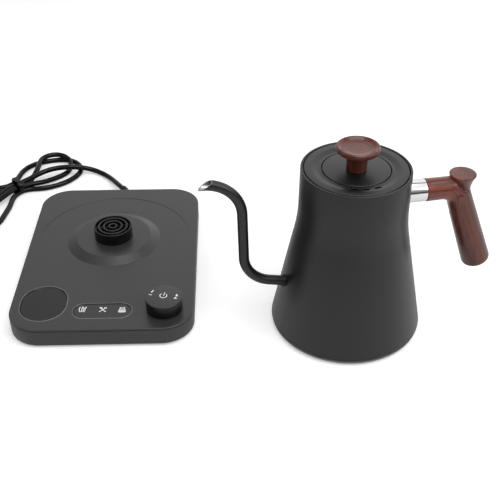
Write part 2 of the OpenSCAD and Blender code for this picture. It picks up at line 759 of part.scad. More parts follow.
module underside_cover() color("#1b1b1c") at_kettle() difference() {
    rotate_extrude() polygon([
        [cover_hole_r, recess_z], [recess_top_r, recess_z], [recess_r, pad_h], [cover_r - 0.1, pad_h],
        [cover_r - 0.1, pad_h + cover_t], [recess_r + 1, pad_h + cover_t],
        [recess_top_r + 1, recess_z + cover_t], [cover_hole_r, recess_z + cover_t]
    ]);
    for (i = [0:2]) rotate(60 + 120 * i) translate([(cover_r + recess_r) / 2, 0, -1]) {
        cylinder(h = 9, r = screw_r + 0.1);
    }
}

module kettle_foot_pads() color("#151515") at_kettle()
    for (i = [0:2]) rotate(120 * i) translate([cover_r - 4.5, 0, 0]) cylinder(h = pad_h, r = 4);

module underside_screws() color("#b8babd") at_kettle()
    for (i = [0:2]) rotate(60 + 120 * i) translate([(cover_r + recess_r) / 2, 0, 0]) {
        translate([0, 0, 0.4]) cylinder(h = pad_h - 0.4, r = screw_head_r);
        translate([0, 0, pad_h - eps]) cylinder(h = cover_t + 3, r = screw_r);
    }

// Socket that drops over the boss: a close guide at its mouth and a wider space above it.
module connector_socket() color("#131313") at_kettle() difference() {
    union() {
        translate([0, 0, recess_z])
            cylinder(h = socket_top + socket_wall - recess_z, r = socket_r + socket_wall);
        translate([0, 0, recess_z + cover_t]) cylinder(h = 2, r = socket_r + socket_wall + 4);
    }
    translate([0, 0, recess_z - 1]) cylinder(h = guide_len + 2, r = socket_r);
    translate([0, 0, recess_z + guide_len])
        cylinder(h = socket_top - recess_z - guide_len, r = socket_r + relief_step);
}

module socket_contacts() color("#c9a24b") at_kettle() translate([0, 0, socket_top - contact_len]) {
    cylinder(h = contact_len, r = 1);
    for (r = [(rib_r1 + rib_r2) / 2, (rib_r2 + rib_r3) / 2])
        for (a = [30, 150, 270]) rotate(a) translate([r, 0, 0]) cylinder(h = contact_len, r = 0.8);
}

// ---------------------------------------------------------------- spout

// Points of the spout's middle line in its own plane: distance from the kettle axis, and height.
up_dir = [sin(spout_lean), cos(spout_lean)];
foot_pt = [upright_s, upright_z];
head_pt = foot_pt + upright_len * up_dir;
low_centre = foot_pt + bend_low * [-cos(spout_lean), sin(spout_lean)];
high_centre = head_pt + bend_high * [cos(spout_lean), -sin(spout_lean)];
root_pt = low_centre + bend_low * [sin(spout_rise), -cos(spout_rise)];
root_len = 24;
hair = 0.02;
run_in = 0.5;

module spout_plane() rotate(180) children();

// Straight line of the spout through the body wall; its children lie along +Z.
module spout_root() spout_plane() translate([root_pt[0], 0, root_pt[1]])
    rotate([0, 90 - spout_rise, 0]) translate([0, 0, -15]) children();

module bend(centre, radius, from, to, r)
    translate([centre[0], 0, centre[1]]) rotate([90, 0, 0]) rotate([0, 0, from])
        rotate_extrude(angle = to - from) translate([radius, 0]) circle(r);

// Each straight stretch is a hair thinner than the bends and runs a little way into them.
module spout_path(r, over) {
    translate([root_pt[0], 0, root_pt[1]]) rotate([0, 90 - spout_rise, 0])
        translate([0, 0, -root_len - over]) cylinder(h = root_len + over + run_in, r = r - hair);
    bend(low_centre, bend_low, spout_rise - 90, -spout_lean, r);
    translate([foot_pt[0], 0, foot_pt[1]]) rotate([0, spout_lean, 0])
        translate([0, 0, -run_in]) cylinder(h = upright_len + 2 * run_in, r = r - hair);
    bend(high_centre, bend_high, 90, 180 - spout_lean, r);
    translate([high_centre[0] - run_in, 0, high_centre[1] + bend_high]) rotate([0, 90, 0])
        cylinder(h = tip_len + 4 + over + run_in, r = r - hair);
}

module tip_cutter() translate([high_centre[0] + tip_len, 0, high_centre[1] + bend_high - spout_r])
    rotate([0, tip_cut, 0]) translate([-60, -30, 0]) cube([120, 60, 60]);

module spout_tube() color("#2a2b2d") at_kettle() spout_plane() difference() {
    spout_path(spout_r, 0);
    spout_path(spout_r - spout_wall, 2);
    body_solid();
    tip_cutter();
}

module spout_collar() color("#1e1f20") at_kettle() difference() {
    spout_plane() translate([root_pt[0], 0, root_pt[1]]) rotate([0, 90 - spout_rise, 0])
        translate([0, 0, -root_len]) ring(spout_r + 1.1, spout_r, root_len - 11.5);
    body_solid();
}

// ---------------------------------------------------------------- handle

stud_r = 2.5;
spigot_r = 5.2;
spigot_len = 6;
insert_len = 12;
insert_r = 4.8;

module along_arm(s) translate([s, 0, arm_z]) rotate([0, 90, 0]) children();

// Polished ferrule from the body wall to the wood, with a spigot that enters the wood.
module handle_ferrule() color("#c6c8cb") at_kettle() difference() {
    union() {
        along_arm(arm_wall_r - 5) cylinder(h = arm_start - arm_wall_r + 5, r = arm_r - ferrule_step);
        along_arm(arm_wall_r) cylinder(h = arm_start + spigot_len - arm_wall_r, r = spigot_r);
    }
    body_solid();
    along_arm(0) cylinder(h = arm_start + spigot_len + 1, r = stud_r + 0.05);
}

module handle_stud() color("#a8abae") at_kettle() {
    along_arm(arm_wall_r - wall - 2.6) cylinder(h = 2, r = 5);
    along_arm(arm_wall_r - wall - 2)
        cylinder(h = arm_start + spigot_len + insert_len - arm_wall_r + wall, r = stud_r);
}

module handle_insert() color("#b98f43") at_kettle() along_arm(arm_start + spigot_len + 0.2)
    ring(insert_r, stud_r, insert_len - 1);

// Half section of the grip from its rounded foot up to the arm.
module grip_profile() {
    len = (arm_z - 3 - grip_z) / cos(grip_tilt);
    edge = 3.4;
    polygon(concat(
        [[0, 0]],
        [for (i = [0:6]) [grip_r - edge + edge * sin(15 * i), edge - edge * cos(15 * i)]],
        [[grip_top_r, len - 1], [grip_top_r - 1, len + 1], [0, len + 2]]
    ));
}

// Half section of the thumb rest from the arm's middle up to its flat top.
module thumb_profile() {
    h = thumb_z - arm_z;
    flare = thumb_r - thumb_neck_r;
    polygon([
        [0, -9], [thumb_neck_r, -9], [thumb_neck_r, -0.1 * h], [thumb_neck_r + 0.05 * flare, h * 0.07],
        [thumb_neck_r + 0.37 * flare, h * 0.37], [thumb_neck_r + 0.72 * flare, h * 0.68],
        [thumb_r, h - 0.9], [thumb_r, h - 0.5], [thumb_r - 0.5, h], [0, h]
    ]);
}

// What is cut from the end of the arm and the top of the grip, beside the thumb rest.
module thumb_notch() translate([thumb_s, 20, arm_z]) rotate([90, 0, 0]) linear_extrude(40)
    polygon([[-arm_r - 0.2, arm_r + 0.1], [-1.7, -1.2], [7, -2.5], [20, -2.5], [20, 20], [-arm_r - 0.2, 20]]);

module wooden_handle() color("#6a3430") at_kettle() difference() {
    union() {
        difference() {
            union() {
                along_arm(arm_start) cylinder(h = thumb_s - arm_start, r = arm_r);
                translate([grip_s, 0, grip_z]) rotate([0, -grip_tilt, 0]) rotate_extrude() grip_profile();
            }
            thumb_notch();
        }
        translate([thumb_s, 0, arm_z]) rotate_extrude() thumb_profile();
    }
    along_arm(arm_start - 1) cylinder(h = spigot_len + 1, r = spigot_r + 0.05);
    along_arm(arm_start) cylinder(h = spigot_len + insert_len, r = insert_r);
}

// ---------------------------------------------------------------- lid

module lid_cover() color("#26272a") at_kettle() difference() {
    translate([0, 0, lid_z]) rotate_extrude() polygon([
        [disc_r + 0.3, 0], [lid_r, 0], [lid_r, lid_t - 0.5], [lid_r - 0.5, lid_t], [lid_r - 6.5, lid_t],
        [disc_r + 2.6, lid_t - 0.9], [disc_r + 0.3, lid_t - 0.5]
    ]);
    // Three short steam slots beside the centre disc.
    for (a = [-108, -92.5, -75]) rotate(a) translate([disc_r + 3.6, 0, 0])
        linear_extrude(body_h + 5) rotate(90) pill(5.6, 1);
}

module lid_centre_disc() color("#222326") at_kettle() translate([0, 0, lid_z]) difference() {
    rotate_extrude() polygon([[0, 0], [disc_r, 0], [disc_r, lid_t - 0.8], [disc_r - 0.5, lid_t - 0.3],
                              [0, lid_t - 0.3]]);
    translate([0, 0, -1]) cylinder(h = lid_t + 2, r = 2.6);
}

module lid_plug() color("#1a1a1b") at_kettle() translate([0, 0, lid_z - flange_t]) difference() {
    union() {
        cylinder(h = flange_t, r = lid_r);
        translate([0, 0, -plug_h]) ring(plug_r, plug_r - 1.8, plug_h + eps);
        translate([0, 0, -3]) cylinder(h = 3 + eps, r = 6);
    }
    translate([0, 0, -plug_h + 5]) ring(plug_r + 2, plug_r - 0.9, 3);
    translate([0, 0, -10]) cylinder(h = 20, r = 2.2);
    for (a = [-108, -92.5, -75]) rotate(a) translate([disc_r + 3.6, 0, -1])
        linear_extrude(flange_t + 2) rotate(90) pill(5.6, 1);
}

module lid_gasket() color("#3b3b3d") at_kettle() translate([0, 0, lid_z - flange_t - plug_h + 5])
    ring(plug_r + 0.5, plug_r - 0.9, 3);

stem_z = lid_z + lid_t - 0.3;

// Half section of the knob: stem, sloping underside, round lip and dished top.
module knob_profile() {
    low = knob_z - knob_t - stem_z;
    top = knob_z - stem_z;
    polygon([
        [0, 0], [stem_r, 0], [stem_r, low], [knob_r - 6, low + 0.8], [knob_r - 2, low + 1.9],
        [knob_r - 0.5, low + 3], [knob_r - 0.15, top - 3.2], [knob_r, top - 1.8], [knob_r - 0.2, top - 0.9],
        [knob_r - 0.9, top - 0.2], [knob_r - 1.8, top], [knob_r - 2.8, top - 0.4],
        [knob_r - 5, top - 1.7], [knob_r - 9, top - 2.4], [0, top - 2.6]
    ]);
}

module lid_knob() color("#7a4038") at_kettle() difference() {
    translate([0, 0, stem_z]) rotate_extrude() knob_profile();
    translate([0, 0, stem_z - 1]) cylinder(h = knob_z - knob_t - stem_z - 1, r = 2);
}

module lid_knob_screw() color("#b8babd") at_kettle() {
    translate([0, 0, lid_z - flange_t - 3 - 2]) cylinder(h = 2, r = 4);
    translate([0, 0, lid_z - flange_t - 3 - eps]) cylinder(h = knob_z - knob_t - lid_z + flange_t, r = 2);
}

top_cover();
bottom_housing();
rubber_feet();
base_screws();
display_window();
display_board();
touch_key_plate();
touch_board();
control_board();
encoder_body();
buzzer();
power_board();
relay();
transformer();
connector_boss();
connector_rings();
terminal_block();
cord_clamp();
encoder_rotor();
dial_knob();
encoder_shaft();
strain_relief();
cord_run();
cord_bundle();
cord_tie();
cord_tail();
mains_plug();
plug_pins();
body_shell();
lid_seat_ring();
vessel_floor();
heating_plate();
heating_element();
temperature_sensor();
sensor_seal();
foot_ring();
underside_cover();
kettle_foot_pads();
underside_screws();
connector_socket();
socket_contacts();
spout_collar();
spout_tube();
handle_ferrule();
handle_stud();
handle_insert();
wooden_handle();
lid_cover();
lid_centre_disc();
lid_plug();
lid_gasket();
lid_knob();
lid_knob_screw();
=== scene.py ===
"""Looks of an electric gooseneck kettle and its power base, built as a Blender add-on and run as a script."""

import json
from math import atan, cos, pi, radians, sin, tan

import bmesh
import bpy
from bpy.props import FloatProperty, FloatVectorProperty
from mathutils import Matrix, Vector


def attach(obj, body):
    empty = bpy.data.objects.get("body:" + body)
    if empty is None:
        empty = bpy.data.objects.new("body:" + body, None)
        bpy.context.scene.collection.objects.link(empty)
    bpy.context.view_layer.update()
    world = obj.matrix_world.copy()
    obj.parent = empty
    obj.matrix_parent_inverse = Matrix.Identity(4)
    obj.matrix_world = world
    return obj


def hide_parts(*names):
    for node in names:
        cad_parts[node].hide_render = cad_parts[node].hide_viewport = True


bl_info = {
    "name": "Gooseneck kettle",
    "version": (1, 0, 0),
    "blender": (4, 5, 0),
    "location": "3D View > Sidebar > Kettle",
    "description": "Detailed pieces and finishes of a gooseneck kettle, its power base and its cord",
    "category": "Object",
}

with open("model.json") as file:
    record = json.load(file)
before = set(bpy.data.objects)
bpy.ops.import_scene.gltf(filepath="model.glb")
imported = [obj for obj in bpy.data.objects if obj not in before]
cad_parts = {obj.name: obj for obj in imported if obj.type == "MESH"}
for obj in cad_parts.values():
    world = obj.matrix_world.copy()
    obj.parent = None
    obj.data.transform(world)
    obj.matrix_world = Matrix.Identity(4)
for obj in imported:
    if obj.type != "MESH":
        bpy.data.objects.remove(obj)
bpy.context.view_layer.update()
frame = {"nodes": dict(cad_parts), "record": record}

MM = 0.001


def metres(place):
    return Vector([value * MM for value in place])


BASE = Vector((-0.133235, 0.0153, 0))      # middle of the power base
KETTLE = Vector((0.085165, -0.0639, 0))    # axis of the kettle
YAW = radians(9)                           # the handle points this far back from straight right
SEAT_AT = (0, 22.4, 0)                     # axis of the connector, in mm from the base's middle
DIAL_AT = (55.8, -87, 0)                   # axis of the dial, in mm from the base's middle
SEAT, DIAL = BASE + metres(SEAT_AT), BASE + metres(DIAL_AT)
OUTLET = BASE + Vector((0.006, 0.115, 0))  # foot of the cord outlet in the back wall
EXIT = OUTLET + Vector((0, 0, 0.0084))     # middle of the cord in the outlet
BUNDLE = OUTLET + Vector((-0.127, 0.031, 0.0079))   # waist of the cord's hank


# ---------------------------------------------------------------- colours and finishes

def srgb(code):
    """Linear colour of an sRGB hex code."""
    parts = [int(code[i:i + 2], 16) / 255 for i in (1, 3, 5)]
    return tuple(p / 12.92 if p <= 0.04045 else ((p + 0.055) / 1.055) ** 2.4 for p in parts)


def rgba(colour):
    return (*colour[:3], 1.0)


def node(tree, kind, inputs=(), **settings):
    """Adds one node with its settings, its fixed inputs and the sockets that feed it."""
    made = tree.nodes.new("ShaderNode" + kind)
    for key, value in settings.items():
        setattr(made, key, value)
    for socket, value in dict(inputs).items():
        if isinstance(value, bpy.types.NodeSocket):
            tree.links.new(value, made.inputs[socket])
        else:
            made.inputs[socket].default_value = value
    return made


def finish(name, colour, roughness, metallic=0.0, **sockets):
    """A material with one Principled shader; returns the material, its tree and the shader."""
    material = bpy.data.materials.get(name) or bpy.data.materials.new(name)
    material.use_nodes = True
    tree = material.node_tree
    tree.nodes.clear()
    shader = node(tree, "BsdfPrincipled", {"Base Color": rgba(colour), "Roughness": roughness,
                                           "Metallic": metallic, **sockets})
    node(tree, "OutputMaterial", {"Surface": shader.outputs["BSDF"]})
    return material, tree, shader


def place_of(tree, stretch=(1, 1, 1), turn=(0, 0, 0), centre=(0, 0, 0)):
    """Object coordinates from a turned frame at the centre; a stretch of 14 draws a pattern out 14 times."""
    where = node(tree, "TexCoord")
    return node(tree, "Mapping", {"Vector": where.outputs["Object"], "Scale": stretch, "Rotation": turn,
                                  "Location": centre}, vector_type="TEXTURE").outputs["Vector"]


def noise(tree, where, scale, detail, **inputs):
    return node(tree, "TexNoise", {"Vector": where, "Scale": scale, "Detail": detail, **inputs}).outputs["Fac"]


def worked(tree, how, first, second):
    """A sum, a product or the like of two values."""
    return node(tree, "Math", {0: first, 1: second}, operation=how).outputs[0]


def ranged(tree, value, low, high, start=0.0, stop=1.0):
    """A value from start to stop, taken to low to high."""
    return node(tree, "MapRange", {"Value": value, "From Min": start, "From Max": stop, "To Min": low,
                                   "To Max": high}).outputs["Result"]


def tinted(tree, colour, factor):
    """A colour times a factor."""
    return node(tree, "Mix", {"Factor": 1.0, 6: colour, 7: factor},
                data_type="RGBA", blend_type="MULTIPLY").outputs[2]


def ramp(tree, factor, *stops):
    """A colour ramp through (position, linear colour) stops."""
    made = node(tree, "ValToRGB", {"Fac": factor})
    while len(made.color_ramp.elements) < len(stops):
        made.color_ramp.elements.new(0.5)
    for element, (position, colour) in zip(made.color_ramp.elements, stops):
        element.position, element.color = position, rgba(colour)
    return made.outputs["Color"]


def feed(tree, shader, height, strength, depth_mm, values):
    """Links varying values into the shader's sockets, and a height into its normal."""
    bump = node(tree, "Bump", {"Height": height, "Strength": strength, "Distance": depth_mm * MM})
    for socket, value in {"Normal": bump.outputs["Normal"], **values}.items():
        tree.links.new(value, shader.inputs[socket])


def grained(name, colour, roughness, grain_mm, depth_mm, spread=0.08, **sockets):
    """A moulded or sprayed surface: a fine even grain in its height, and a faint drift in its tone."""
    material, tree, shader = finish(name, colour, roughness, **sockets)
    where = place_of(tree)
    grain = noise(tree, where, 1 / (grain_mm * MM), 3.0, Roughness=0.6)
    drift = noise(tree, where, 28.0, 2.0)
    dark = tuple(c * (1 - spread) for c in colour[:3])
    light = tuple(min(1.0, c * (1 + spread)) for c in colour[:3])
    feed(tree, shader, grain, 0.5, depth_mm, {
        "Base Color": ramp(tree, drift, (0.3, dark), (0.7, light)),
        "Roughness": ranged(tree, grain, max(0.02, roughness - 0.06), min(1.0, roughness + 0.06))})
    return material


def drawn_metal(name, colour, roughness, along, streak_mm=0.5, depth_mm=0.004):
    """Metal with fine lines along one direction, from drawing, turning or brushing."""
    material, tree, shader = finish(name, colour, roughness, metallic=1.0)
    lines = noise(tree, place_of(tree, along), 1 / (streak_mm * MM), 2.0)
    feed(tree, shader, lines, 0.35, depth_mm, {
        "Roughness": ranged(tree, lines, roughness * 0.7, roughness * 1.35)})
    return material


def woven(name, colour, roughness, **sockets):
    """Crossed threads under lacquer, in two greens."""
    material, tree, shader = finish(name, colour, roughness, **sockets)
    place = place_of(tree)
    warp, weft = (node(tree, "TexWave", {"Vector": place, "Scale": 160.0}, bands_direction=way).outputs["Fac"]
                  for way in ("X", "Y"))
    weave = worked(tree, "MULTIPLY", warp, weft)
    feed(tree, shader, weave, 0.3, 0.02, {
        "Base Color": ramp(tree, weave, (0.2, srgb("#1d4c2f")), (0.8, srgb("#2c6a43")))})
    return material


def hardwood(name, turn, centre, second=None):
    """Oiled and lacquered hardwood: streaks give the warm red-brown its depth, the lacquer a soft shine.

    The grain runs along the turned Z. Where X goes from "from" to "to", the second grain takes over, and its
    tone is painted up to twice as pale: painted light on the arm, which faces the overhead light.
    """
    wood, along = looks().wood, (1, 1, 14)
    material, tree, shader = finish(name, wood, 0.42, **{
        "IOR": 1.45, "Specular IOR Level": 0.2, "Coat Weight": 0.55, "Coat Roughness": 0.07})
    where = place_of(tree, along, turn, centre)
    if second:
        spot = node(tree, "SeparateXYZ", {"Vector": node(tree, "TexCoord").outputs["Object"]})
        arm_grain_and_painted_light = ranged(tree, spot.outputs["X"], 0.0, 1.0, second["from"], second["to"])
        where = node(tree, "Mix", {0: arm_grain_and_painted_light, 4: where, 5: place_of(tree, along, second["turn"], centre)},
                     data_type="VECTOR").outputs[1]
    # Long streaks and broad bands make the figure, and short pores fleck it.
    streak = noise(tree, where, 420.0, 5.0, Roughness=0.62, Distortion=0.25)
    band = noise(tree, where, 120.0, 2.0, Distortion=0.8)
    pores = noise(tree, where, 1500.0, 1.0)
    figure = worked(tree, "MULTIPLY", worked(tree, "ADD", streak, band), 0.5)
    dark, mid, light = (tuple(c * k for c in wood[:3]) for k in (0.5, 1.0, 1.45))
    shade = tinted(tree, ramp(tree, figure, (0.38, dark), (0.5, mid), (0.66, light)),
                   ranged(tree, pores, 1.0, 0.55, 0.62, 0.7))
    # Painted light: where the second grain takes over, the tone is made up to twice as pale, as if the arm's
    # top were lit from above.
    if second:
        shade = tinted(tree, shade, ranged(tree, arm_grain_and_painted_light, 1.0, 2.0))
    feed(tree, shader, streak, 0.25, 0.12, {
        "Base Color": shade, "Roughness": ranged(tree, streak, 0.3, 0.5)})
    return material


# ---------------------------------------------------------------- modelling

def clear():
    """Object mode with nothing selected."""
    if bpy.context.object and bpy.context.object.mode != "OBJECT":
        bpy.ops.object.mode_set(mode="OBJECT")
    bpy.ops.object.select_all(action="DESELECT")


def take(piece):
    """Only this piece selected and active, in object mode."""
    clear()
    bpy.context.view_layer.objects.active = piece
    piece.select_set(True)


def edit(piece):
    take(piece)
    bpy.ops.object.mode_set(mode="EDIT")


def pick(piece, kind, test):
    """Selects the faces or edges whose middle and normal, or middle and direction, pass the test."""
    bpy.ops.mesh.select_mode(type=kind)
    bpy.ops.mesh.select_all(action="DESELECT")
    mesh = bmesh.from_edit_mesh(piece.data)
    found = 0
    for part in (mesh.faces if kind == "FACE" else mesh.edges):
        if kind == "FACE":
            middle, way = part.calc_center_median(), part.normal
        else:
            ends = [v.co for v in part.verts]
            middle, way = (ends[0] + ends[1]) / 2, (ends[1] - ends[0]).normalized()
        if test(middle, way):
            part.select_set(True)
            found += 1
    bmesh.update_edit_mesh(piece.data)
    if not found:
        raise RuntimeError(f"{piece.name}: nothing to select")


def settle(piece, turn=(0, 0, 0)):
    """Turns the piece where it stands and applies its place, so its object ends at the origin."""
    take(piece)
    piece.rotation_euler = turn
    bpy.ops.object.transform_apply(location=True, rotation=True, scale=True)
    return piece


def stand(piece, place, turn=(0, 0, 0)):
    """Turns a piece where it was modelled, then moves it by a place in mm."""
    settle(piece, turn)
    piece.location = metres(place)
    return settle(piece)


def seat(piece, where, turn=0.0):
    """Moves a piece modelled at the origin to where it stands, turned about the upright axis."""
    settle(piece)
    piece.location = where
    return settle(piece, (0, 0, turn))


def on_kettle(piece):
    return seat(piece, KETTLE, YAW)


def smooth(piece, angle=32):
    """Smooth shading that keeps edges over the angle crisp."""
    take(piece)
    bpy.ops.object.shade_smooth_by_angle(angle=radians(angle))
    return piece


def modify(piece, kind, **settings):
    """Adds one modifier with its settings and applies it."""
    take(piece)
    bpy.ops.object.modifier_add(type=kind)
    made = piece.modifiers[-1]
    for key, value in settings.items():
        setattr(made, key, value)
    bpy.ops.object.modifier_apply(modifier=made.name)
    return piece


def ease_edges(piece, width, angle, **settings):
    """Bevels the edges sharper than the angle; the width is in metres."""
    return modify(piece, "BEVEL", width=width, segments=2, limit_method="ANGLE",
                  angle_limit=radians(angle), **settings)


def carve(piece, cutter, how="DIFFERENCE"):
    """Cuts one piece with another, or joins them, and takes the cutter away."""
    modify(piece, "BOOLEAN", object=cutter, operation=how, solver="EXACT")
    bpy.data.objects.remove(cutter)
    return piece


def join(piece, *others):
    take(piece)
    for other in others:
        other.select_set(True)
    bpy.ops.object.join()
    return piece


def eased(corners, steps=4):
    """An outline with rounded corners: each corner is (radius, height) or (radius, height, ease)."""
    points = []
    for i, (r, z, *ease) in enumerate(corners):
        here = Vector((r, z))
        if not ease or i in (0, len(corners) - 1):
            points.append((r, z))
            continue
        before = Vector(corners[i - 1][:2]) - here
        after = Vector(corners[i + 1][:2]) - here
        half = before.angle(after) / 2
        # A round never takes more than 0.48 of an edge, so two of them fit on it.
        reach = min(ease[0] / tan(half), 0.48 * before.length, 0.48 * after.length)
        radius = reach * tan(half)
        middle = here + (before.normalized() + after.normalized()).normalized() * radius / sin(half)
        start = here + before.normalized() * reach - middle
        turn = start.angle_signed(here + after.normalized() * reach - middle)
        for k in range(steps + 1):
            a = -turn * k / steps
            points.append((middle.x + start.x * cos(a) - start.y * sin(a),
                           middle.y + start.x * sin(a) + start.y * cos(a)))
    return points


def named(name):
    """Names the piece just added and its mesh or curve."""
    piece = bpy.context.object
    piece.name = piece.data.name = name
    return piece


def turned(name, corners, turn=(0, 0, 0), steps=96, angle=32, corner_steps=4):
    """A turned piece: the corners of its half section, radius and height in mm, spun round its axis."""
    outline = eased(corners, corner_steps)
    clear()
    bpy.ops.mesh.primitive_plane_add(size=MM, location=(0, 0, 0))
    piece = named(name)
    bpy.ops.object.mode_set(mode="EDIT")
    bpy.ops.mesh.select_mode(type="VERT")
    bpy.ops.mesh.select_all(action="SELECT")
    bpy.ops.mesh.merge(type="CENTER")
    bpy.ops.transform.translate(value=(outline[0][0] * MM, 0, outline[0][1] * MM))
    for (r, z), (next_r, next_z) in zip(outline, outline[1:]):
        bpy.ops.mesh.extrude_vertices_move(
            TRANSFORM_OT_translate={"value": ((next_r - r) * MM, 0, (next_z - z) * MM)})
    bpy.ops.mesh.select_all(action="SELECT")
    bpy.ops.mesh.spin(steps=steps, angle=2 * pi, center=(0, 0, 0), axis=(0, 0, 1))
    bpy.ops.mesh.select_all(action="SELECT")
    bpy.ops.mesh.remove_doubles(threshold=2e-6)
    bpy.ops.mesh.normals_make_consistent(inside=False)
    return smooth(settle(piece, turn), angle)


def slab(name, size, place, corner, ease=0.0, under=0.0, steps=12):
    """A flat block with rounded upright corners and eased top and bottom rims; in mm."""
    clear()
    bpy.ops.mesh.primitive_cube_add(size=1, location=metres(place), scale=metres(size))
    piece = named(name)
    bpy.ops.object.transform_apply(location=False, rotation=False, scale=True)
    edit(piece)
    pick(piece, "EDGE", lambda at, way: abs(way.z) > 0.9)
    bpy.ops.mesh.bevel(offset=corner * MM, segments=steps, affect="EDGES")
    for side, width in ((1, ease), (-1, under)):
        if width:
            pick(piece, "EDGE", lambda at, way: abs(way.z) < 0.1 and at.z * side > size[2] * MM * 0.499)
            bpy.ops.mesh.bevel(offset=width * MM, segments=5, affect="EDGES")
    bpy.ops.object.mode_set(mode="OBJECT")
    return piece


def drum(radius, low, high, place=(0, 0, 0), steps=96):
    """A plain cylinder between two heights, for cutting; in mm."""
    clear()
    bpy.ops.mesh.primitive_cylinder_add(vertices=steps, radius=radius * MM, depth=(high - low) * MM,
                                        location=metres(place) + metres((0, 0, (high + low) / 2)))
    return bpy.context.object


def ball(radius, place):
    """A plain ball, for cutting and filling; in mm."""
    clear()
    bpy.ops.mesh.primitive_uv_sphere_add(segments=48, ring_count=24, radius=radius * MM,
                                         location=metres(place))
    return bpy.context.object


def block(side, shift, turn, place):
    """A cube for cutting: shifted by so many of its sides, tilted about Y in degrees, then placed; in mm."""
    clear()
    bpy.ops.mesh.primitive_cube_add(size=side * MM, location=(0, 0, 0))
    cutter = bpy.context.object
    edit(cutter)
    bpy.ops.transform.translate(value=Vector(shift) * side * MM)
    bpy.ops.object.mode_set(mode="OBJECT")
    return stand(cutter, place, (0, radians(turn), 0))


def strand(name, kind, points, thickness, round_steps):
    """A round curve of one spline, POLY or BEZIER, through points in metres."""
    clear()
    bpy.ops.curve.primitive_bezier_curve_add(location=(0, 0, 0))
    piece = named(name)
    piece.data.splines.clear()
    spline = piece.data.splines.new(kind)
    if kind == "BEZIER":
        spline.bezier_points.add(len(points) - 1)
        for point, at in zip(spline.bezier_points, points):
            point.co = at
            point.handle_left_type = point.handle_right_type = "AUTO"
    else:
        spline.points.add(len(points) - 1)
        for point, at in zip(spline.points, points):
            point.co = (*at, 1)
    piece.data.bevel_depth = thickness / 2
    piece.data.bevel_resolution = round_steps
    piece.data.use_fill_caps = True
    return piece


def line(name, points, thickness, flat=None, round_steps=3):
    """A round line through points in metres, made a mesh; flat squashes it to that height."""
    piece = strand(name, "POLY", points, thickness, round_steps)
    take(piece)
    bpy.ops.object.convert(target="MESH")
    if flat:
        edit(piece)
        bpy.ops.mesh.select_all(action="SELECT")
        bpy.ops.transform.resize(value=(1, 1, flat / thickness), center_override=(0, 0, points[0][2]))
        bpy.ops.object.mode_set(mode="OBJECT")
    return piece


def dress(piece, *finishes):
    """Gives a piece its materials, each a finish by name or a material."""
    piece.data.materials.clear()
    for look in finishes:
        piece.data.materials.append(material_of(look) if isinstance(look, str) else look)
    return piece


def enter(piece, look, body, slot, *nodes):
    """Dresses a finished piece, puts it on its body and hides the nodes it stands for; its slot argument is not
    used.
    """
    if look:
        dress(piece, look)
    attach(piece, body)
    if nodes:
        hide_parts(*nodes)
    return piece


def traced(name, source, ease=0.2, angle=40):
    """A copy of a CAD node with its triangles merged into faces and its edges eased; ease in mm."""
    piece = frame["nodes"][source].copy()
    piece.data = piece.data.copy()
    bpy.context.scene.collection.objects.link(piece)
    for key in list(piece.keys()):
        del piece[key]
    piece.parent = None
    piece.name = piece.data.name = name
    edit(piece)
    bpy.ops.mesh.select_all(action="SELECT")
    bpy.ops.mesh.remove_doubles(threshold=2e-6)
    bpy.ops.mesh.dissolve_limited(angle_limit=radians(0.4))
    bpy.ops.object.mode_set(mode="OBJECT")
    ease_edges(piece, ease * MM, angle, use_clamp_overlap=True)
    return smooth(piece, angle)


def arc(x, y, radius, start, stop, steps):
    """Points of an arc, with its angles in degrees."""
    turns = [radians(start + (stop - start) * i / steps) for i in range(steps + 1)]
    return [(x + radius * cos(a), y + radius * sin(a)) for a in turns]


def printed(name, strokes, place):
    """Symbols printed as strokes of ink that stand 0.03 mm above the surface; in mm about the place."""
    made = [line(name, [(x * MM, y * MM, 0) for x, y in stroke], sizes().stroke, flat=0.06 * MM)
            for stroke in strokes]
    piece = join(*made)
    piece.name = piece.data.name = name
    return seat(piece, place)


# ---------------------------------------------------------------- sizes and colours that a user changes

def tone(label, text, code):
    return FloatVectorProperty(name=label, description=text, subtype="COLOR", size=3, min=0, max=1,
                               default=srgb(code))


def length(label, text, default, low, high):
    """A length, given in mm."""
    return FloatProperty(name=label, description=text, default=default * MM, min=low * MM, max=high * MM,
                         subtype="DISTANCE", unit="LENGTH")


class KettleFinishes(bpy.types.PropertyGroup):
    """Colours of the finishes."""
    cover: tone("Base cover", "Matt charcoal plastic of the base's top plate", "#2f2f2f")
    # The lips' pale tone is a painted highlight along the rims of the pockets.
    lip: tone("Pocket lips", "Pale plastic of the lips round the window and the keys, a painted highlight", "#747474")
    housing: tone("Base housing", "Charcoal plastic of the base's wall and floor", "#303030")
    window: tone("Display window", "Smoked acrylic over the display", "#161616")
    keys: tone("Key plate", "Smoked plate over the touch keys", "#262626")
    ink: tone("Printed ink", "White ink of the symbols", "#f2f2f2")
    black: tone("Black plastic", "Connector, dial skirt and plug", "#070708")
    enamel: tone("Enamel", "Satin black enamel of the kettle, its spout and its lid", "#0b0b0b")
    band: tone("Foot band", "Grey band at the kettle's foot", "#5c5c5e")
    wood: tone("Hardwood", "Red-brown oiled hardwood of the handle and the knob", "#57291f")
    steel: tone("Polished steel", "Ferrule of the handle", "#dededf")
    brushed: tone("Brushed steel", "Inside of the vessel", "#a9a9a8")
    brass: tone("Brass", "Contact rings and their pin", "#6c6454")
    rubber: tone("Rubber", "Feet, pads and seals", "#111112")
    vinyl: tone("Cord vinyl", "Black vinyl of the cord", "#060606")


